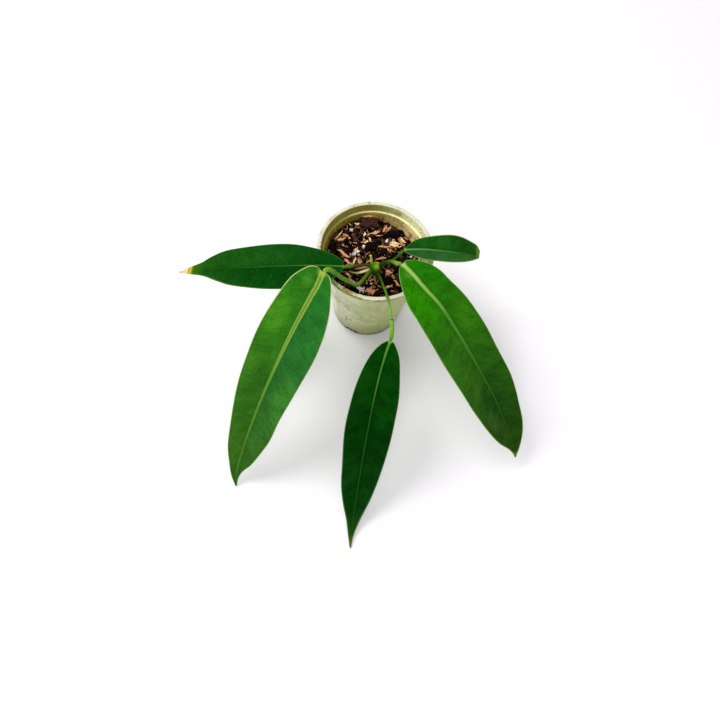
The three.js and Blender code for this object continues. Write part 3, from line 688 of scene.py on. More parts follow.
def chip_form(name, cuts, soft, rough, seed, taper=0.0, curl=0.0):
    """A cube made into a chip about 1 long, with an uneven outline and broken faces.

    cuts is how finely it is divided, and soft how often it is smoothed. rough, taper and curl are shares
    of its size.
    """
    bpy.ops.mesh.primitive_cube_add(size=1)
    piece = take_active(name)
    in_edit_mode(piece, lambda: bpy.ops.mesh.subdivide(number_cuts=cuts),
                 lambda: bpy.ops.mesh.vertices_smooth(factor=0.5, repeat=soft))
    points = places(piece.data)
    points = points / np.abs(points).max(axis=0) / 2
    angle = np.arctan2(points[:, 1], points[:, 0])
    outline = fractal(np.stack([np.cos(angle), np.sin(angle), 0 * angle], axis=1), 0.75, 2, seed)
    points[:, :2] *= (1 + rough * outline)[:, None]
    points *= (1 + rough * 0.45 * fractal(points * 2, 0.7, 3, seed + 5))[:, None]
    sway = fractal(points[:, [0, 0, 0]] * 2, 0.9, 2, seed + 3)
    points[:, 1:] *= (1 - taper * np.abs(points[:, :1] * 2) ** 1.5)
    points[:, 2] += sway * rough * 0.4 + curl * (4 * points[:, 0] ** 2 - 0.33) * (0.5 - seed % 4 / 3)
    points[:, 1] += sway * rough * 0.5 + curl * sway * 0.6
    form = (points, [tuple(p.vertices) for p in piece.data.polygons])
    bpy.data.objects.remove(piece)
    return form


def chip_forms(name, seeds, **shape):
    """A few forms of one kind. seeds is the first seed and the step from each to the next."""
    first, step = seeds
    return [chip_form(f"{name}_{i}", seed=i * step + first, **shape) for i in range(FORMS)]


def heap(name, forms, rows):
    """Copies of a few forms joined in one piece.

    A row is (form, x, y, z, length, width, height, turn, lean, tone).
    """
    points, faces, grain, tones = [], [], [], []
    start = 0
    for which, x, y, z, length, width, height, turn, lean, tone in rows:
        form, form_faces = forms[which]
        local = form * np.array([length, width, height])
        turning = np.array(Matrix.Rotation(turn, 3, "Z") @ Matrix.Rotation(lean[0], 3, "Y")
                           @ Matrix.Rotation(lean[1], 3, "X"))
        points.append(local @ turning.T + np.array([x, y, z]))
        grain.append(local + np.array([tone * 90, tone * 50, 0]))
        tones.append(np.full(len(local), tone))
        faces += [tuple(i + start for i in face) for face in form_faces]
        start += len(local)
    points = np.vstack(points)
    radius = np.hypot(points[:, 0], points[:, 1])
    points[:, :2] *= np.minimum(1, (wall_inside(points[:, 2]) - FIT_GAP) / radius)[:, None]
    mesh = bpy.data.meshes.new(name)
    mesh.from_pydata((points * MM).tolist(), [], faces)
    note(mesh, "tone", np.concatenate(tones))
    for key, values in zip(("grain_x", "grain_y", "grain_z"), np.vstack(grain).T):
        note(mesh, key, values)
    mesh.shade_smooth()
    return add_object(name, mesh)


# The chips that stand out, placed as in the photograph: kind, x, y, turn in degrees, length, width, lift.
NAMED_CHIPS = [
    ("bark", -9.5, 36.5, 14, 17.0, 9.0, 2.6), ("wood", -10.3, 41.2, 20, 14.0, 2.6, 4.4),
    ("pale", -20.5, 32.5, 0, 7.6, 2.3, 2.2), ("perlite", -24.1, 25.6, 10, 2.7, 2.2, 1.4),
    ("wood", -28.3, 19.3, 0, 6.0, 2.8, 1.8), ("pale", -34.1, 17.5, 64, 10.5, 1.1, 2.0),
    ("wood", -31.3, 13.8, 25, 7.8, 3.1, 1.8), ("wood", -24.1, 16.0, -64, 6.8, 2.3, 1.9),
    ("wood", -4.5, 27.0, 28, 11.2, 2.2, 2.0), ("pale", -12.7, 23.9, 61, 5.2, 3.4, 1.6),
    ("pale", -6.6, 20.4, -64, 5.0, 1.5, 1.6), ("pale", -9.3, 17.0, 55, 3.8, 2.2, 1.5),
    ("wood", 5.1, 33.6, 76, 8.4, 2.4, 2.2), ("wood", 8.0, 34.4, 60, 7.4, 2.4, 1.9),
    ("dark", 13.2, 31.6, 5, 9.6, 5.4, 1.4), ("perlite", 8.3, 23.3, 62, 3.8, 2.1, 1.4),
    ("pale", 16.0, 22.6, 8, 9.6, 3.0, 2.4), ("pale", 15.4, 20.4, 0, 8.0, 2.8, 2.0),
    ("wood", 7.2, 17.2, 6, 11.8, 2.3, 2.2), ("wood", 11.1, 15.3, -47, 5.8, 2.1, 1.9),
    ("fibre", 17.6, 14.4, 4, 12.0, 1.0, 1.9), ("wood", 21.1, 25.5, -49, 10.0, 2.6, 2.2),
    ("pale", 22.0, 27.6, -40, 7.2, 2.1, 2.6), ("perlite", -11.1, 12.5, 70, 3.0, 2.3, 1.6),
    ("dark", -4.6, 14.4, 17, 9.0, 8.0, 1.6), ("perlite", -18.4, 4.2, 33, 3.6, 2.7, 1.5),
    ("pale", -16.2, 7.3, -12, 5.0, 3.0, 2.0), ("wood", -26.8, 0.8, -27, 11.4, 2.8, 2.2),
    ("wood", -21.9, -5.2, -32, 10.4, 2.8, 2.2), ("wood", -21.4, 2.8, -60, 5.0, 1.9, 2.0),
    ("pale", -16.6, -2.4, 86, 7.4, 2.1, 2.0), ("block", -12.2, -2.2, 10, 5.2, 4.2, 1.7),
    ("wood", 6.9, 5.5, 24, 11.6, 1.7, 2.1), ("wood", 14.7, -4.9, -7, 5.6, 2.4, 1.7),
    ("block", 14.3, -7.8, 19, 4.0, 3.2, 1.8), ("block", 18.7, -8.5, -45, 4.6, 2.6, 1.8),
    ("dark", 15.2, -13.4, 13, 7.4, 6.4, 1.4), ("wood", 17.6, -18.5, 43, 8.6, 2.8, 1.8),
    ("wood", 23.2, -13.7, -40, 7.4, 2.3, 1.8), ("pale", -0.9, -16.8, 28, 8.4, 1.9, 1.8),
    ("pale", -0.5, -19.5, 12, 6.4, 1.5, 1.6), ("block", 1.5, -27.6, 4, 8.0, 6.0, 3.4),
    ("perlite", -5.8, -27.4, 12, 4.2, 4.0, 1.9), ("perlite", -8.6, -26.2, 50, 3.4, 3.0, 1.7),
    ("wood", -16.7, -20.7, -40, 5.8, 1.9, 1.7), ("wood", -19.3, -16.5, -22, 6.2, 1.9, 1.7),
    ("wood", 5.6, -22.4, -26, 4.8, 2.0, 1.6), ("wood", -11.9, -24.7, -3, 5.8, 1.7, 1.6),
]
FORMS = 4
TONES = {"bark": 0.24, "dark": 0.04, "wood": 0.62, "pale": 0.83, "block": 0.57, "fibre": 0.5, "perlite": 0.5}
HEIGHTS = {"bark": 4.2, "dark": 5.0, "wood": 1.5, "pale": 1.2, "block": 2.6, "fibre": 0.9, "perlite": 2.7}


def draws(seed):
    """Numbers from 0 to 1 in order from a fixed seed."""
    state = seed
    while True:
        state = state * 48271 % 2147483647
        yield state / 2147483647


def scattered(count, draw, reach, clear):
    """Places spread evenly over the mix within a radius of reach, and clear of the stem."""
    for i in range(count):
        radius = reach * math.sqrt((i + 0.5) / count)
        angle = i * math.pi * (3 - math.sqrt(5)) + next(draw)
        x, y = radius * math.cos(angle) + next(draw) - 0.5, radius * math.sin(angle) + next(draw) - 0.5
        if math.hypot(x - STEM_X, y - STEM_Y) > clear and math.hypot(x, y) < reach:
            yield x, y


def potting_mix():
    """The body of the mix, and piles of chips on it: the named ones and then the scattered ones."""
    draw = draws(SEED)
    forms = {
        "bark_chips": chip_forms("bark_form", (0, 7.0), cuts=2, soft=1, rough=0.34)
        + chip_forms("fine_bark_form", (3, 6.0), cuts=7, soft=4, rough=0.4),
        "wood_chips": chip_forms("wood_form", (2, 5.0), cuts=2, soft=1, rough=0.42, taper=0.62, curl=1.3)
        + chip_forms("fine_wood_form", (4, 5.0), cuts=6, soft=1, rough=0.34, taper=0.6, curl=0.6),
        "bark_fines": chip_forms("crumb_form", (6, 4.0), cuts=1, soft=1, rough=0.5),
        "perlite": chip_forms("perlite_form", (1, 9.0), cuts=4, soft=2, rough=0.55),
    }
    piles = {name: [] for name in forms}

    def between(low, high):
        return low + (high - low) * next(draw)

    def any_form():
        return int(next(draw) * FORMS)

    def any_turn():
        return between(0, 2 * math.pi)

    def tilt(most):
        return (math.radians(between(-most, most)), math.radians(between(-most, most)))

    def lay(pile, x, y, lift, form, *rest):
        """Adds a chip, lift mm above the surface. rest is length, width, height, turn, lean and tone."""
        piles[pile].append((form, x, y, float(mix_surface(x, y)) + lift, *rest))

    for kind, x, y, turn, length, width, lift in NAMED_CHIPS:
        form, lean = any_form(), tilt(7)
        tone = TONES[kind]
        if kind == "perlite":
            pile = "perlite"
        else:
            pile = "bark_chips" if kind in ("bark", "dark") else "wood_chips"
            form += FORMS
            width *= 0.85 if kind in ("wood", "pale") else 1
            tone += between(-0.04, 0.04)
        lay(pile, x, y, lift, form, length, width, HEIGHTS[kind], math.radians(turn), lean, tone)
    # Bark chips, wood chips, thin slivers of wood, bark fines and perlite.
    for x, y in scattered(210, draw, reach=41.5, clear=5.5):
        length, width, height = between(4, 11), between(2.5, 6), between(1.6, 3.4)
        lay("bark_chips", x, y, between(-0.9, 0.9), any_form(), length, width, height,
            any_turn(), tilt(28), between(0.0, 0.3))
    for x, y in scattered(170, draw, reach=41.5, clear=6):
        length = between(2.5, 8.5)
        lay("wood_chips", x, y, between(-0.6, 1.0), any_form(), length, between(0.8, 1.9), between(0.6, 1.2),
            any_turn(), tilt(30), between(0.22, 0.78))
    for x, y in scattered(110, draw, reach=41, clear=5.2):
        lay("wood_chips", x, y, between(0.2, 1.6), any_form(), between(4, 11), between(0.4, 0.8),
            between(0.4, 0.7), any_turn(), tilt(22), between(0.3, 0.85))
    for x, y in scattered(620, draw, reach=42, clear=4.6):
        size = between(1.0, 3.0)
        lay("bark_fines", x, y, between(-0.5, 0.8), any_form(), size, size * between(0.4, 0.9),
            size * between(0.3, 0.6), any_turn(), tilt(40), between(0, 0.48))
    for x, y in scattered(10, draw, reach=38, clear=9):
        size = between(1.6, 2.8)
        lay("perlite", x, y, between(-0.2, 0.8), any_form(), size, size, size * 0.9,
            between(0, 6), tilt(30), TONES["perlite"])
    settle(mix_body(), soil_finish(), "potting_mix", "potting_mix")
    wood = wood_finish()
    for name, rows in piles.items():
        finish = perlite_finish() if name == "perlite" else wood
        settle(heap(name, forms[name], rows), finish, "potting_mix")


def soil_finish():
    f = Finish("dark_mix", 0.95, MIX_LIGHT, Specular_IOR_Level=0.04)
    crumbs = f.step(f.noise(260, 5, roughness=0.7), 0.4, 0.7)
    f.bump(f.noise(500, 4), 0.7, 0.8)
    return f.paint(f.tones(crumbs, "#060302", "#24140f"))


def wood_finish():
    """Bark and split wood, from near black through red-brown to tan and cream by each chip's tone."""
    f = Finish("bark_and_wood", 0.85, MIX_LIGHT, Specular_IOR_Level=0.05)
    x, y, z = (f.noted(name) for name in ("grain_x", "grain_y", "grain_z"))
    fibre = f.noise(1.0, 4, place=f.vector(x * 0.2, y * 2.2, z * 2.2), roughness=0.65)
    blotch = f.noise(0.5, 3, place=f.vector(x, y, z))
    level = f.noted("tone") + (fibre - 0.5) * 0.62 + (blotch - 0.5) * 0.28
    stops = [(0.0, "#050202"), (0.14, "#110908"), (0.28, "#301c17"), (0.42, "#60402d"),
             (0.55, "#996b47"), (0.7, "#c29567"), (0.85, "#d6b386"), (1.0, "#ead3aa")]
    f.bump(fibre, 0.6, 0.5)
    return f.paint(f.ramp(level, stops))


def perlite_finish():
    f = Finish("perlite", 0.9, PERLITE_LIGHT)
    pits = f.step(f.noise(700, 4, roughness=0.7), 0.35, 0.6)
    f.bump(f.noise(900, 3), 0.6, 0.4)
    return f.paint(f.tones(pits, "#9c8a84", "#f2e5de"))


# Stem, petioles and roots


def frames_along(route, rings):
    """Places and two side directions at each ring of a tube, carried along without twist."""
    share = np.linspace(0, 1, rings + 1)
    centres, forwards = route.at(share), route.forward(share, 0.5 / rings)
    side = np.cross(forwards[0], (0.3, -0.2, 0.93))
    sides = []
    for forward in forwards:
        side = side - forward * (side @ forward)
        side = side / np.linalg.norm(side)
        sides.append(side)
    sides = np.array(sides)
    return centres, sides, np.cross(forwards, sides)


def tube(name, points, around, rings, radius_at, flat=1.0):
    """A stalk along a route, with its thickness the share flat of its width.

    radius_at(along, length) gives half its width in mm.
    """
    route = Route(points)
    centres, sides, tops = frames_along(route, rings)

    def place(u, v):
        ring = np.rint(v * rings).astype(int)
        along = v * route.length
        radius = radius_at(along, route.length) * np.where((ring == 0) | (ring == rings), 0, 1)
        ends = np.clip(ring, 1, rings - 1)
        angle = 2 * math.pi * u
        across = (radius * np.cos(angle))[:, None] * sides[ends]
        up = (radius * flat * np.sin(angle))[:, None] * tops[ends]
        swell = 1 + 0.04 * np.sin(3 * angle + along * 0.3)
        points_out = centres[ends] + (across + up) * swell[:, None]
        points_out[ring == 0] = centres[0]
        points_out[ring == rings] = centres[-1]
        return points_out, {"along": along, "left": route.length - along, "round": u}

    return skin(name, around, rings, place)


def petiole(name, leaf):
    def radius_at(along, length):
        flare = (leaf["base"] - leaf["radius"]) * np.exp(-along / leaf["base_reach"])
        start = length - leaf["joint_length"]
        swell = (leaf["joint"] - leaf["radius"]) * smooth(start - 2, start, along)
        pinch = -0.18 * leaf["radius"] * np.exp(-(((along - start + 1.5) / 0.7) ** 2))
        taper = -0.6 * leaf["joint"] * smooth(length - 4, length, along)
        return leaf["radius"] + flare + swell + pinch + taper

    return tube("petiole_of_" + name, leaf["petiole"], 28, 150, radius_at)


def petiole_finish(name, tones, ring=None):
    """Smooth green stalk with fine lines along it. tones run from the crown to the blade.

    ring is the place of a dark ring, in mm before the blade, and its tone.
    """
    f = Finish("petiole_green_" + name, 0.38, Specular_IOR_Level=0.12,
               Specular_Tint=(0.75, 0.95, 0.6, 1))
    along, left = f.noted("along"), f.noted("left")
    fibres = f.noise(1.0, 3, place=f.vector(f.noted("round") * 14, along * 0.08))
    shade = f.ramp(along / (along + left), tones)
    shade = f.tint(shade, f.step(fibres, 0.4, 0.7, 0.0, 0.4), 0.7, 0.78, 0.6)
    shade = f.tint(shade, f.step(f.noise(400, 3), 0.52, 0.72, 0.0, 0.6), 1.3, 1.2, 1.2)
    if ring:
        place, tone = ring
        shade = f.coats(shade, (f.step(abs(left - place), 0.7, 0.25, 0.0, 0.8), tone))
    f.bump(fibres, 0.25, 0.2)
    return f.paint(shade)


def stem_shape():
    heights = np.array([height for _, height in STEM_PROFILE], float)
    radii = np.array([radius for radius, _ in STEM_PROFILE], float)

    def place(u, v):
        z = heights[0] + (heights[-1] - heights[0]) * v
        angle = 2 * math.pi * u
        radius = np.interp(z, heights, radii) * np.where((v < 1e-6) | (v > 1 - 1e-6), 0, 1)
        scars = 0.14 * np.sin(z * 2.1 + 1.3 * np.sin(angle)) * smooth(70, 78, z)
        lobes = 0.28 * np.sin(3 * angle + z * 0.35)
        relief = (scars + lobes) * np.where(radius > 0.5, 1, 0)
        radius = radius * (1 + 0.06 * np.sin(2 * angle + z * 0.2)) + relief
        return np.stack([STEM_X + radius * np.cos(angle), STEM_Y + radius * np.sin(angle), z], axis=1), {}

    return skin("stem_crown", 64, 110, place)


def stem_finish():
    """Brown and dull at its foot, green at the crown and darker below its top, with painted shade on its
    front, a yellow-tan spot where a sheath joins, and two painted highlights.
    """
    f = Finish("stem_skin", 0.5, Specular_IOR_Level=0.1, Specular_Tint=(0.8, 0.95, 0.5, 1))
    _, y, z = f.axes()
    patches = f.step(f.noise(150, 2), 0.4, 0.62)
    high = f.coats(f.tones(patches, "#3a7c0e", "#6fa01c"),
                   (f.step(z, 0.0895, 0.085, 0.0, 0.85), "#2c560e"),
                   # Painted shade on the front side of the crown.
                   (f.step(y, -0.0115, -0.0138, 0.0, 0.85), "#1e4e04"))
    low = f.tones(patches, "#2c2a12", "#5d5a26")
    shade = f.coats(f.blend(f.step(z, 0.079, 0.085), low, high),
                    (f.near((3.4, -7.6, 90.8), 2.4), "#b8a02c"),
                    # Two painted highlights at the front of the crown.
                    (f.near((3.0, -12.4, 90.6), 2.2, 0.75), "#5f9c12"),
                    (f.near((4.0, -11.6, 91.6), 1.7, 0.95), "#a4b630"))
    f.bump(f.noise(600, 3), 0.3, 0.3)
    return f.paint(shade)


# Blades


def crowded(share, crowding):
    """Moves shares from 0 to 1 so that they lie closer together at both ends."""
    return share - crowding * np.sin(2 * np.pi * share) / (2 * np.pi)


def blade(name, leaf):
    midrib = Route(leaf["midrib"])
    length = midrib.length
    edges = [Route([(along, out, 0) for along, out in leaf[side]]) for side in ("left_edge", "right_edge")]
    rows = leaf["rows"]
    fold = math.tan(math.radians(leaf["fold"]))

    def place(u, v):
        row = np.clip((v * rows - 1) / (rows - 2), 0, 1)
        share = crowded(row, ROW_CROWDING)
        across = 1 - np.abs(4 * u - 2)
        under = u > 0.5
        side = np.sign(across)
        reach = crowded(np.abs(across), COLUMN_CROWDING)
        left, right = (edge.at(share) for edge in edges)
        end = np.where((side < 0)[:, None], left, right)
        out = reach * end[:, 1]
        along = length * share**ROW_SWEEP * (1 - reach) + end[:, 0] * reach
        on = np.clip(along / length, 0, 1)
        forward = midrib.forward(on)
        rightward = np.stack([forward[:, 1], -forward[:, 0], np.zeros_like(on)], axis=1)
        rightward /= np.linalg.norm(rightward, axis=1, keepdims=True)
        upward = np.cross(rightward, forward)
        bend = out / EDGE_REACH
        lift = fold * (np.hypot(out, FOLD_SOFTNESS) - FOLD_SOFTNESS) - leaf["curl"] * bend**2
        lift += leaf["wave"] * bend * bend * np.sin(2 * np.pi * along / WAVE_LENGTH + side)
        margin = (1 - reach) * end[:, 1]
        rib, keel = (low + (high - low) * share for low, high in (leaf["rib"], leaf["keel"]))
        rib = np.minimum(rib, end[:, 1] / 2)
        quilt = np.abs(np.sin(np.pi * (along - 0.5 * out + 3.5 * (side > 0)) / SIDE_VEIN_GAP)) ** 0.6 - 0.6
        lift += (QUILT_HEIGHT * quilt * smooth(1.0, 5.0, out) * smooth(0.5, 4.0, margin)
                 * smooth(1.0, 0.85, share))
        half = BLADE_HALF * np.sqrt(1 - (1 - np.clip(margin / MARGIN_ROUND, 0, 1)) ** 2)
        profile = np.exp(-1.4 * (out / rib) ** 2)
        rise = half + leaf["rib_rise"] * profile
        sink = -half - keel * profile
        lift += np.where(under, sink, rise)
        ends = (v < 1e-6) | (v > 1 - 1e-6)
        spot = midrib.at(on) + forward * (along - on * length)[:, None]
        spot = spot + rightward * (side * out)[:, None] + upward * lift[:, None]
        spot[v < 1e-6] = midrib.at(0.0)
        spot[v > 1 - 1e-6] = midrib.at(1.0)
        notes = {"along": along, "left": length - along, "out": side * out,
                 "margin": np.where(ends, 0, margin), "under": under.astype(float),
                 "rib": np.interp(along / length, *leaf["rib_line"])}
        return spot, notes

    return skin("blade_of_" + name, 4 * HALF_COLUMNS, rows, place)


def blade_finish(name, leaf, look):
    """Velvety leaf: pale midrib, faint side veins, a thin pale margin, and tones of its own on each half."""
    f = Finish("leaf_" + name, 0.55, Specular_IOR_Level=0.01, Specular_Tint=(0.45, 0.9, 0.4, 1))
    length = Route(leaf["midrib"]).length
    along, left, out, margin, rib = (f.noted(key) for key in ("along", "left", "out", "margin", "rib"))
    away = abs(out)
    across = away / rib
    skew = f.noise(32, 3) - 0.5
    share = along / length + skew * 0.2
    halves = [f.ramp(share, list(zip(HALF_PLACES, look[side]))) for side in ("left", "right")]
    shade = f.blend(f.step(out, -0.8, 0.8), *halves)
    for spot_along, spot_out, radius, strength, tone in look["patches"]:
        far = f.length(along - spot_along, (out - spot_out) * 2.2) + skew * (radius * 1.2)
        shade = f.coats(shade, (f.step(far, radius * 1.2, radius * 0.2, 0.0, strength), tone))
    # Side veins leave the midrib at about 63 degrees, and finer lines run between them.
    lean = along - away * 0.5 + (f.noise(45, 2) - 0.5) * 8 + f.step(out, -0.5, 0.5) * 3.5
    vein = f.step(f.math("PINGPONG", lean, SIDE_VEIN_GAP / 2), 0.9, 0.1)
    vein = vein * f.step(margin, 1.0, 5.0) * f.step(f.noise(55, 2), 0.38, 0.6)
    shade = f.coats(shade, (vein * look["veins"], look["vein"]))
    streaks = f.noise(1.0, 4, place=f.vector(lean * 0.9, out * 0.13), roughness=0.65)
    clouds = f.noise(1.0, 4, place=f.vector(lean * 0.1, out * 0.07))
    velvet = f.step(streaks, 0.25, 0.75, -0.13, 0.13) + f.step(f.noise(700, 4), 0.3, 0.7, -0.14, 0.14)
    velvet = velvet + f.step(clouds, 0.3, 0.7, -look["clouds"], look["clouds"]) + 1.0
    shade = f.blend(1.0, shade, f.vector(velvet, velvet, velvet), "MULTIPLY")
    collective_vein = f.step(abs(margin - 3.0), 0.5, 0.1, 0.0, 0.08)
    shade = f.coats(shade, (collective_vein, look["vein"]))
    # Painted shade in a band beside the midrib.
    shade = f.tint(shade, f.step(away - rib, 3.2, 0.4, 0.0, look["rib_shade"]), 0.55, 0.62, 0.5)
    # The midrib, its groove and the pale spot where it meets the stalk.
    on_rib = f.step(across + (streaks - 0.5) * 0.9, 1.5, 0.4) * f.step(left, 2, look["rib_fade"])
    shade = f.blend(on_rib, shade, f.ramp(share, list(zip(look["rib_places"], look["rib"]))))
    if "groove" in look:
        groove = f.step(across, 0.75, 0.4) * f.step(share, 0.55, 0.25)
        shade = f.coats(shade, (groove * 0.85, look["groove"]))
    base = f.step(f.length(along, out * 1.3), look["base_glow"], 1.0, 0.0, 0.75)
    shade = f.coats(shade, (base, look["base"]))
    for start, end, strength, tone in look["tip_bands"]:
        shade = f.coats(shade, (f.step(left + skew * 2.5, start, end, 0.0, strength), tone))
    for spot_along, spot_out, radius, tone in look["marks"]:
        far = f.length(along - spot_along, out - spot_out)
        shade = f.coats(shade, (f.step(far, radius * 1.3, radius * 0.6, 0.0, 0.85), tone))
    flecks = f.step(f.cells(330), 0.2, 0.08) * f.step(f.noise(60, 1), 0.45, 0.6)
    shade = f.coats(shade, (flecks * look["flecks"], "#9fc08a"))
    below = f.coats(f.tones(f.step(streaks, 0.3, 0.7), "#588a48", "#6f9c5c"),
                    (vein, "#86ad6c"), (f.step(across, 1.6, 1.0), "#a4bd78"))
    shade = f.blend(f.noted("under"), shade, below)
    # The thin margin stops before the tip.
    edge_width = f.step(share, 0.0, 0.3, *look["edge_width"])
    edge = f.step((margin + skew * 0.5) / edge_width, 1.0, 0.45, 0.0, look["edge_strength"])
    edge = edge * f.step(left, look["bare_tip"], look["bare_tip"] + 3)
    shade = f.blend(edge, shade, f.tones(f.step(share, 0.05, 0.4), *look["edge"]))
    f.bump(streaks, 0.3, 0.2)
    f.bump(f.noise(1500, 2), 0.12, 0.08)
    return f.paint(shade)


# The tones of each leaf, from its base to its tip: three on each half, at HALF_PLACES of the length, and
# those of the midrib at rib_places. stalk has the places and tones of the petiole. In mm, a patch is (along,
# out, radius, strength, tone), a mark is (along, out, radius, tone), a tip band is (start, end, strength,
# tone) before the tip, and a ring is (distance, tone) before the blade. PLAIN_LOOK holds where a leaf has
# none of its own.
HALF_PLACES = (0.1, 0.45, 0.85)
PLAIN_LOOK = dict(
    rib_places=(0.08, 0.4, 0.8), rib_fade=20, edge_width=(1.0, 1.0), bare_tip=1, clouds=0.2, flecks=0.1,
    marks=[], ring=None,
)
LOOKS = {
    "left": dict(
        slot="blade_dark", left=("#0f4610", "#06430a", "#124b0c"), right=("#0c4a10", "#144f12", "#1a510f"),
        rib=("#4f8c30", "#226622", "#124e12"), rib_places=(0.1, 0.38, 0.7), rib_shade=0.25, base="#5f9438",
        base_glow=3, edge=("#6f9c50", "#64943c"), edge_strength=0.55, bare_tip=9, vein="#3a8034",
        veins=0.05, clouds=0.16,
        patches=[(60, 9, 22, 0.3, "#1b5814"), (86, 6, 20, 0.3, "#1c5a16"), (105, -8, 16, 0.25, "#1b5710"),
                 (75, -6, 22, 0.4, "#043e08")],
        tip_bands=[(26, 12, 0.75, "#38700c"), (13, 9.8, 0.95, "#cfc21c"), (9.4, 8.8, 0.95, "#b47a18"),
                   (8.5, 7.8, 1.0, "#e3cda4"), (2.4, 0.5, 0.85, "#8a6a48")],
        stalk=[(0.0, "#4a7a0c"), (0.15, "#3c5e0a"), (0.45, "#33540a"), (0.6, "#426c0e"), (0.75, "#547e14"),
               (0.9, "#588418"), (1.0, "#6c9430")],
    ),
    "front_left": dict(
        slot="blade_bright", left=("#237022", "#28682a", "#32641e"),
        right=("#2a7216", "#327018", "#32621a"), rib=("#acc95e", "#9abd50", "#6a9a30", "#4f8024"),
        rib_places=(0.08, 0.32, 0.46, 0.8), groove="#5c8314", rib_shade=0.2, base="#a9c452", base_glow=8,
        edge=("#d3de90", "#74a034"), edge_strength=0.85, edge_width=(1.5, 0.8), vein="#5f9a44", veins=0.07,
        clouds=0.16, flecks=0.12,
        patches=[(50, 18, 24, 0.7, "#4a941e"), (14, 9, 12, 0.5, "#529228"), (86, 20, 22, 0.45, "#3f7c20"),
                 (108, 7, 26, 0.5, "#29591a"), (45, -6, 22, 0.5, "#216626"), (100, -7, 26, 0.45, "#226026"),
                 (112, -18, 30, 0.55, "#448a28"), (60, -20, 18, 0.4, "#2f7a26"),
                 (160, -10, 26, 0.35, "#44742a"), (170, 10, 24, 0.35, "#44751e")],
        tip_bands=[(1.6, 0.6, 0.9, "#3c3a18")],
        stalk=[(0.0, "#5a7c10"), (0.2, "#627c18"), (0.32, "#82ac48"), (0.45, "#7cb44a"), (0.65, "#6a9e3e"),
               (0.82, "#588c28"), (0.9, "#709a20"), (1.0, "#9ab446")],
    ),
    "front_middle": dict(
        slot="blade_dark", left=("#053c03", "#053306", "#0a3b0a"), right=("#083d04", "#063606", "#0a3a09"),
        rib=("#589230", "#265e1c", "#165018"), rib_places=(0.04, 0.32, 0.72), rib_shade=0.4, base="#8cbe3e",
        base_glow=4, edge=("#3f7a2c", "#628650"), edge_strength=0.5, vein="#1f5c1c", veins=0.04,
        clouds=0.26, flecks=0.03,
        patches=[(30, 12, 20, 0.4, "#0c4806"), (60, -12, 24, 0.4, "#0a440a"), (75, 5, 18, 0.5, "#032c03"),
                 (118, 8, 18, 0.35, "#0d400d")],
        tip_bands=[(32, 12, 0.7, "#1f4d0e"), (13, 1.0, 0.85, "#557020"), (1.8, 0.6, 0.9, "#4a3c18")],
        marks=[(151, 11.0, 1.0, "#5a4426")],
        stalk=[(0.0, "#24440a"), (0.12, "#30500c"), (0.22, "#3e620f"), (0.35, "#4e7c18"), (0.5, "#4e8c1e"),
               (0.6, "#66a834"), (0.66, "#84bc44"), (0.8, "#80b02c"), (0.92, "#74a816"), (1.0, "#4e8a14")],
        ring=(18.6, "#2a3a12"),
    ),
    "right": dict(
        slot="blade_bright", left=("#1f6f06", "#2c6612", "#22490f"),
        right=("#287a04", "#2e6814", "#284e12"), rib=("#9cc05e", "#4f9030", "#2c5814"),
        rib_places=(0.08, 0.28, 0.75), rib_fade=26, rib_shade=0.4, base="#b0c97c", base_glow=5,
        edge=("#a0bf70", "#7ba03a"), edge_strength=0.75, vein="#4a8438", veins=0.07,
        # The dark patches beside the midrib from 128 to 150 mm along are painted shade of its groove, and the
        # grey-green one at 160 mm is a painted sheen.
        patches=[(36, 15, 30, 0.6, "#2d8800"), (12, 3, 9, 0.6, "#559026"), (70, -14, 24, 0.5, "#3c7a10"),
                 (95, 10, 22, 0.3, "#386a1c"), (128, -5, 24, 0.5, "#1c4a18"), (122, 14, 18, 0.5, "#42661e"),
                 (142, 6, 24, 0.6, "#1a461a"), (150, -4, 20, 0.4, "#18440f"), (160, 12, 15, 0.4, "#45682c"),
                 (186, 0, 18, 0.4, "#31570f")],
        tip_bands=[(7, 3, 0.8, "#67803e"), (1.8, 0.6, 0.9, "#5c5446")],
        marks=[(183, 8.0, 1.3, "#143d0d"), (179, 10.5, 0.7, "#1c420f")],
        stalk=[(0.0, "#1e4606"), (0.4, "#274c0a"), (0.5, "#36600f"), (0.64, "#466e1e"), (0.74, "#5f8630"),
               (0.84, "#82a63f"), (0.92, "#769e36"), (1.0, "#559020")],
    ),
    "small": dict(
        slot="blade_dark", left=("#104816", "#1a5515", "#184d10"), right=("#27592b", "#2c632e", "#2c6022"),
        rib=("#629848", "#488432", "#2f6420"), rib_shade=0.25, base="#84b056", base_glow=3,
        edge=("#7aa84e", "#86ac3c"), edge_strength=0.75, vein="#3f7f3c", veins=0.05,
        patches=[(25, -10, 18, 0.4, "#1f6012"), (50, 9, 14, 0.3, "#356a22")],
        tip_bands=[(4.5, 0.8, 0.6, "#6f9a2c")],
        marks=[(64.2, 3.0, 1.5, "#8a5f38"), (64.6, 5.5, 0.9, "#5c3f24")],
        stalk=[(0.0, "#1e4404"), (0.4, "#2e6408"), (0.82, "#366e0a"), (0.93, "#4f7d0c"), (1.0, "#588420")],
    ),
}


# Sheaths

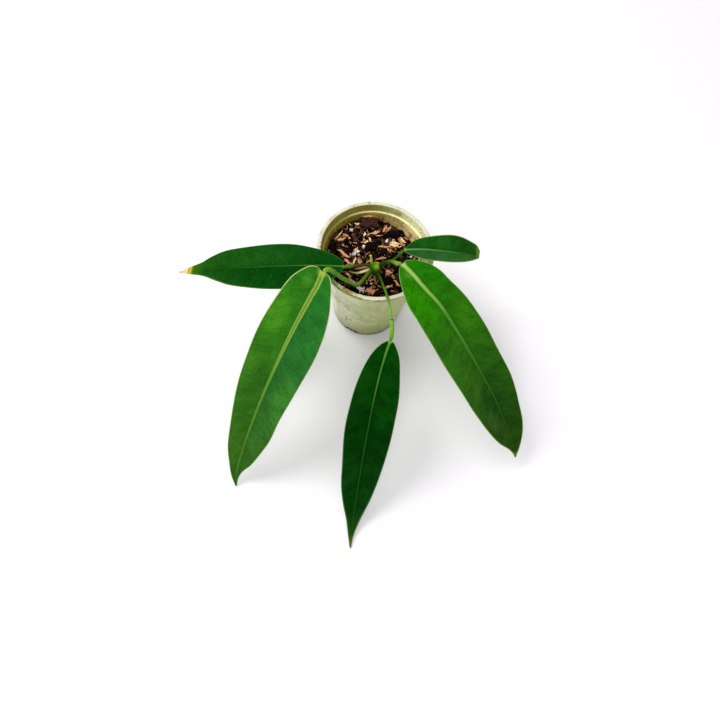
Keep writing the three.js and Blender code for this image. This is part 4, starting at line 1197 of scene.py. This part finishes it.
# Each sheath has its route from the crown, its half width, half depth and the half width of its tip, in mm,
# and its tones from the crown to its tip. fibres is the tone of the fibres along it.
SHEATHS = {
    "stub": dict(
        slot="sheath_yellow", width=1.25, depth=0.8, tip=0.9, fibres="#c6be34",
        route=[(0.6, -8.4, 84.5), (-1.0, -6.8, 86.5), (-2.2, -5.6, 91), (-3.3, -4.5, 96.4)],
        tones=[(0.2, "#c4c428"), (0.6, "#f4ee58"), (1.0, "#f2ea72")],
    ),
    "spear": dict(
        slot="sheath_pale", width=1.15, depth=0.7, tip=0.2, fibres="#b2b85c",
        route=[(1, -9.8, 82.4), (-2.4, -10.4, 82.2), (-7.2, -13.3, 82.4), (-11.9, -15.6, 82.2),
               (-16.4, -15.6, 81.8), (-19.6, -14.4, 81.2)],
        tones=[(0.15, "#b0c058"), (0.28, "#fffdd0"), (0.5, "#f6f4b4"), (0.62, "#98a22c"), (1.0, "#4f7018")],
    ),
    "dry": dict(
        slot="sheath_brown", width=1.2, depth=0.6, tip=0.3, fibres="#54301a",
        route=[(1.4, -8.2, 82.8), (-2, -7.9, 83), (-6, -9, 82.8), (-10.4, -10.4, 82.3),
               (-15.4, -11.6, 81.4)],
        tones=[(0.2, "#7a4a24"), (0.6, "#bf8450"), (1.0, "#9a5c34")],
    ),
}


def sheath(name, form):
    width, tip = form["width"], form["tip"]

    def radius_at(along, length):
        return tip + (width - tip) * np.sin(np.pi * (0.3 + 0.7 * along / length)) ** 0.8

    return tube(name + "_sheath", form["route"], 24, 60, radius_at, form["depth"] / width)


def sheath_finish(form):
    """Papery strip with fibres along it."""
    f = Finish(form["slot"], 0.6, Specular_IOR_Level=0.25)
    along, left = f.noted("along"), f.noted("left")
    fibres = f.noise(1.0, 4, place=f.vector(f.noted("round") * 22, along * 0.15))
    shade = f.ramp(along / (along + left), form["tones"])
    f.bump(fibres, 0.5, 0.3)
    return f.paint(f.coats(shade, (f.step(fibres, 0.35, 0.65, 0.0, 0.6), form["fibres"])))


# The studio: camera as in the photograph, a white floor and soft light from the left.

CAMERA_PLACE = (3.2, -428.3, 744.4)
CAMERA_ELEVATION = 63.48
CAMERA_ROLL = 10.01
CAMERA_LENS = 45.0
CAMERA_SENSOR = 36.0
CAMERA_REACH = 20.0
WORLD_LIGHT = 0.77
# Both lights are soft discs that point at the target. Their places and sizes are in metres.
LIGHT_TARGET = (0, -0.08, 0.05)
LIGHTS = {
    "window_light": dict(place=(-0.9, 0.2, 1.35), size=0.9, power=14.5, tint=(1.0, 0.99, 0.97)),
    "front_light": dict(place=(-0.1, -1.1, 1.35), size=0.6, power=5.5, tint=(1, 1, 1)),
}


def camera():
    elevation, roll = math.radians(CAMERA_ELEVATION), math.radians(CAMERA_ROLL)
    back = Vector((0, -math.cos(elevation), math.sin(elevation)))
    right = Vector((1, 0, 0))
    up = back.cross(right)
    across = right * math.cos(roll) + up * math.sin(roll)
    upward = up * math.cos(roll) - right * math.sin(roll)
    data = bpy.data.cameras.new("camera")
    data.lens, data.sensor_width, data.clip_end = CAMERA_LENS, CAMERA_SENSOR, CAMERA_REACH
    made = add_object("camera", data)
    turning = Matrix((across, upward, back)).transposed().to_4x4()
    made.matrix_world = Matrix.Translation([c * MM for c in CAMERA_PLACE]) @ turning
    bpy.context.scene.camera = made


def area_light(name, place, size, power, tint):
    data = bpy.data.lights.new(name, "AREA")
    data.shape, data.size, data.energy, data.color = "DISK", size, power, tint
    made = add_object(name, data)
    made.location = place
    made.rotation_euler = (Vector(LIGHT_TARGET) - Vector(place)).to_track_quat("-Z", "Y").to_euler()


def studio():
    bpy.ops.mesh.primitive_plane_add(size=30, location=(0, 0, 0))
    floor = take_active("studio_floor")
    f = Finish("floor_paint", 0.7, Specular_IOR_Level=0.1)
    shade = f.blend(f.noise(3, 2), (0.87, 0.845, 0.88, 1), (0.89, 0.865, 0.9, 1))
    floor.data.materials.append(f.paint(shade))
    world = bpy.data.worlds.new("studio_light")
    bpy.context.scene.world = world
    world.use_nodes = True
    background = world.node_tree.nodes["Background"].inputs
    background["Color"].default_value = (1, 1, 1, 1)
    background["Strength"].default_value = WORLD_LIGHT
    for name, light in LIGHTS.items():
        area_light(name, **light)
    view = bpy.context.scene.view_settings
    view.view_transform, view.look = "Standard", "None"


def build():
    camera()
    settle(pot_shape(), pot_finish(), "pot", "pot")
    potting_mix()
    settle(stem_shape(), stem_finish(), "stem", "stem")
    for name, points in ROOTS.items():
        root = tube(name, points, 12, 40, lambda along, length: np.full_like(along, ROOT_RADIUS))
        settle(root, petiole_finish(name, ROOT_TONES), "stem")
    for name, leaf in LEAVES.items():
        look = {**PLAIN_LOOK, **LOOKS[name]}
        stalk_finish = petiole_finish(name, look["stalk"], look["ring"])
        settle(petiole(name, leaf), stalk_finish, "petiole", "petiole_" + name)
        settle(blade(name, leaf), blade_finish(name, leaf, look), look["slot"], "blade_" + name)
    for name, form in SHEATHS.items():
        settle(sheath(name, form), sheath_finish(form), form["slot"], "sheath_" + name)
    studio()


build()
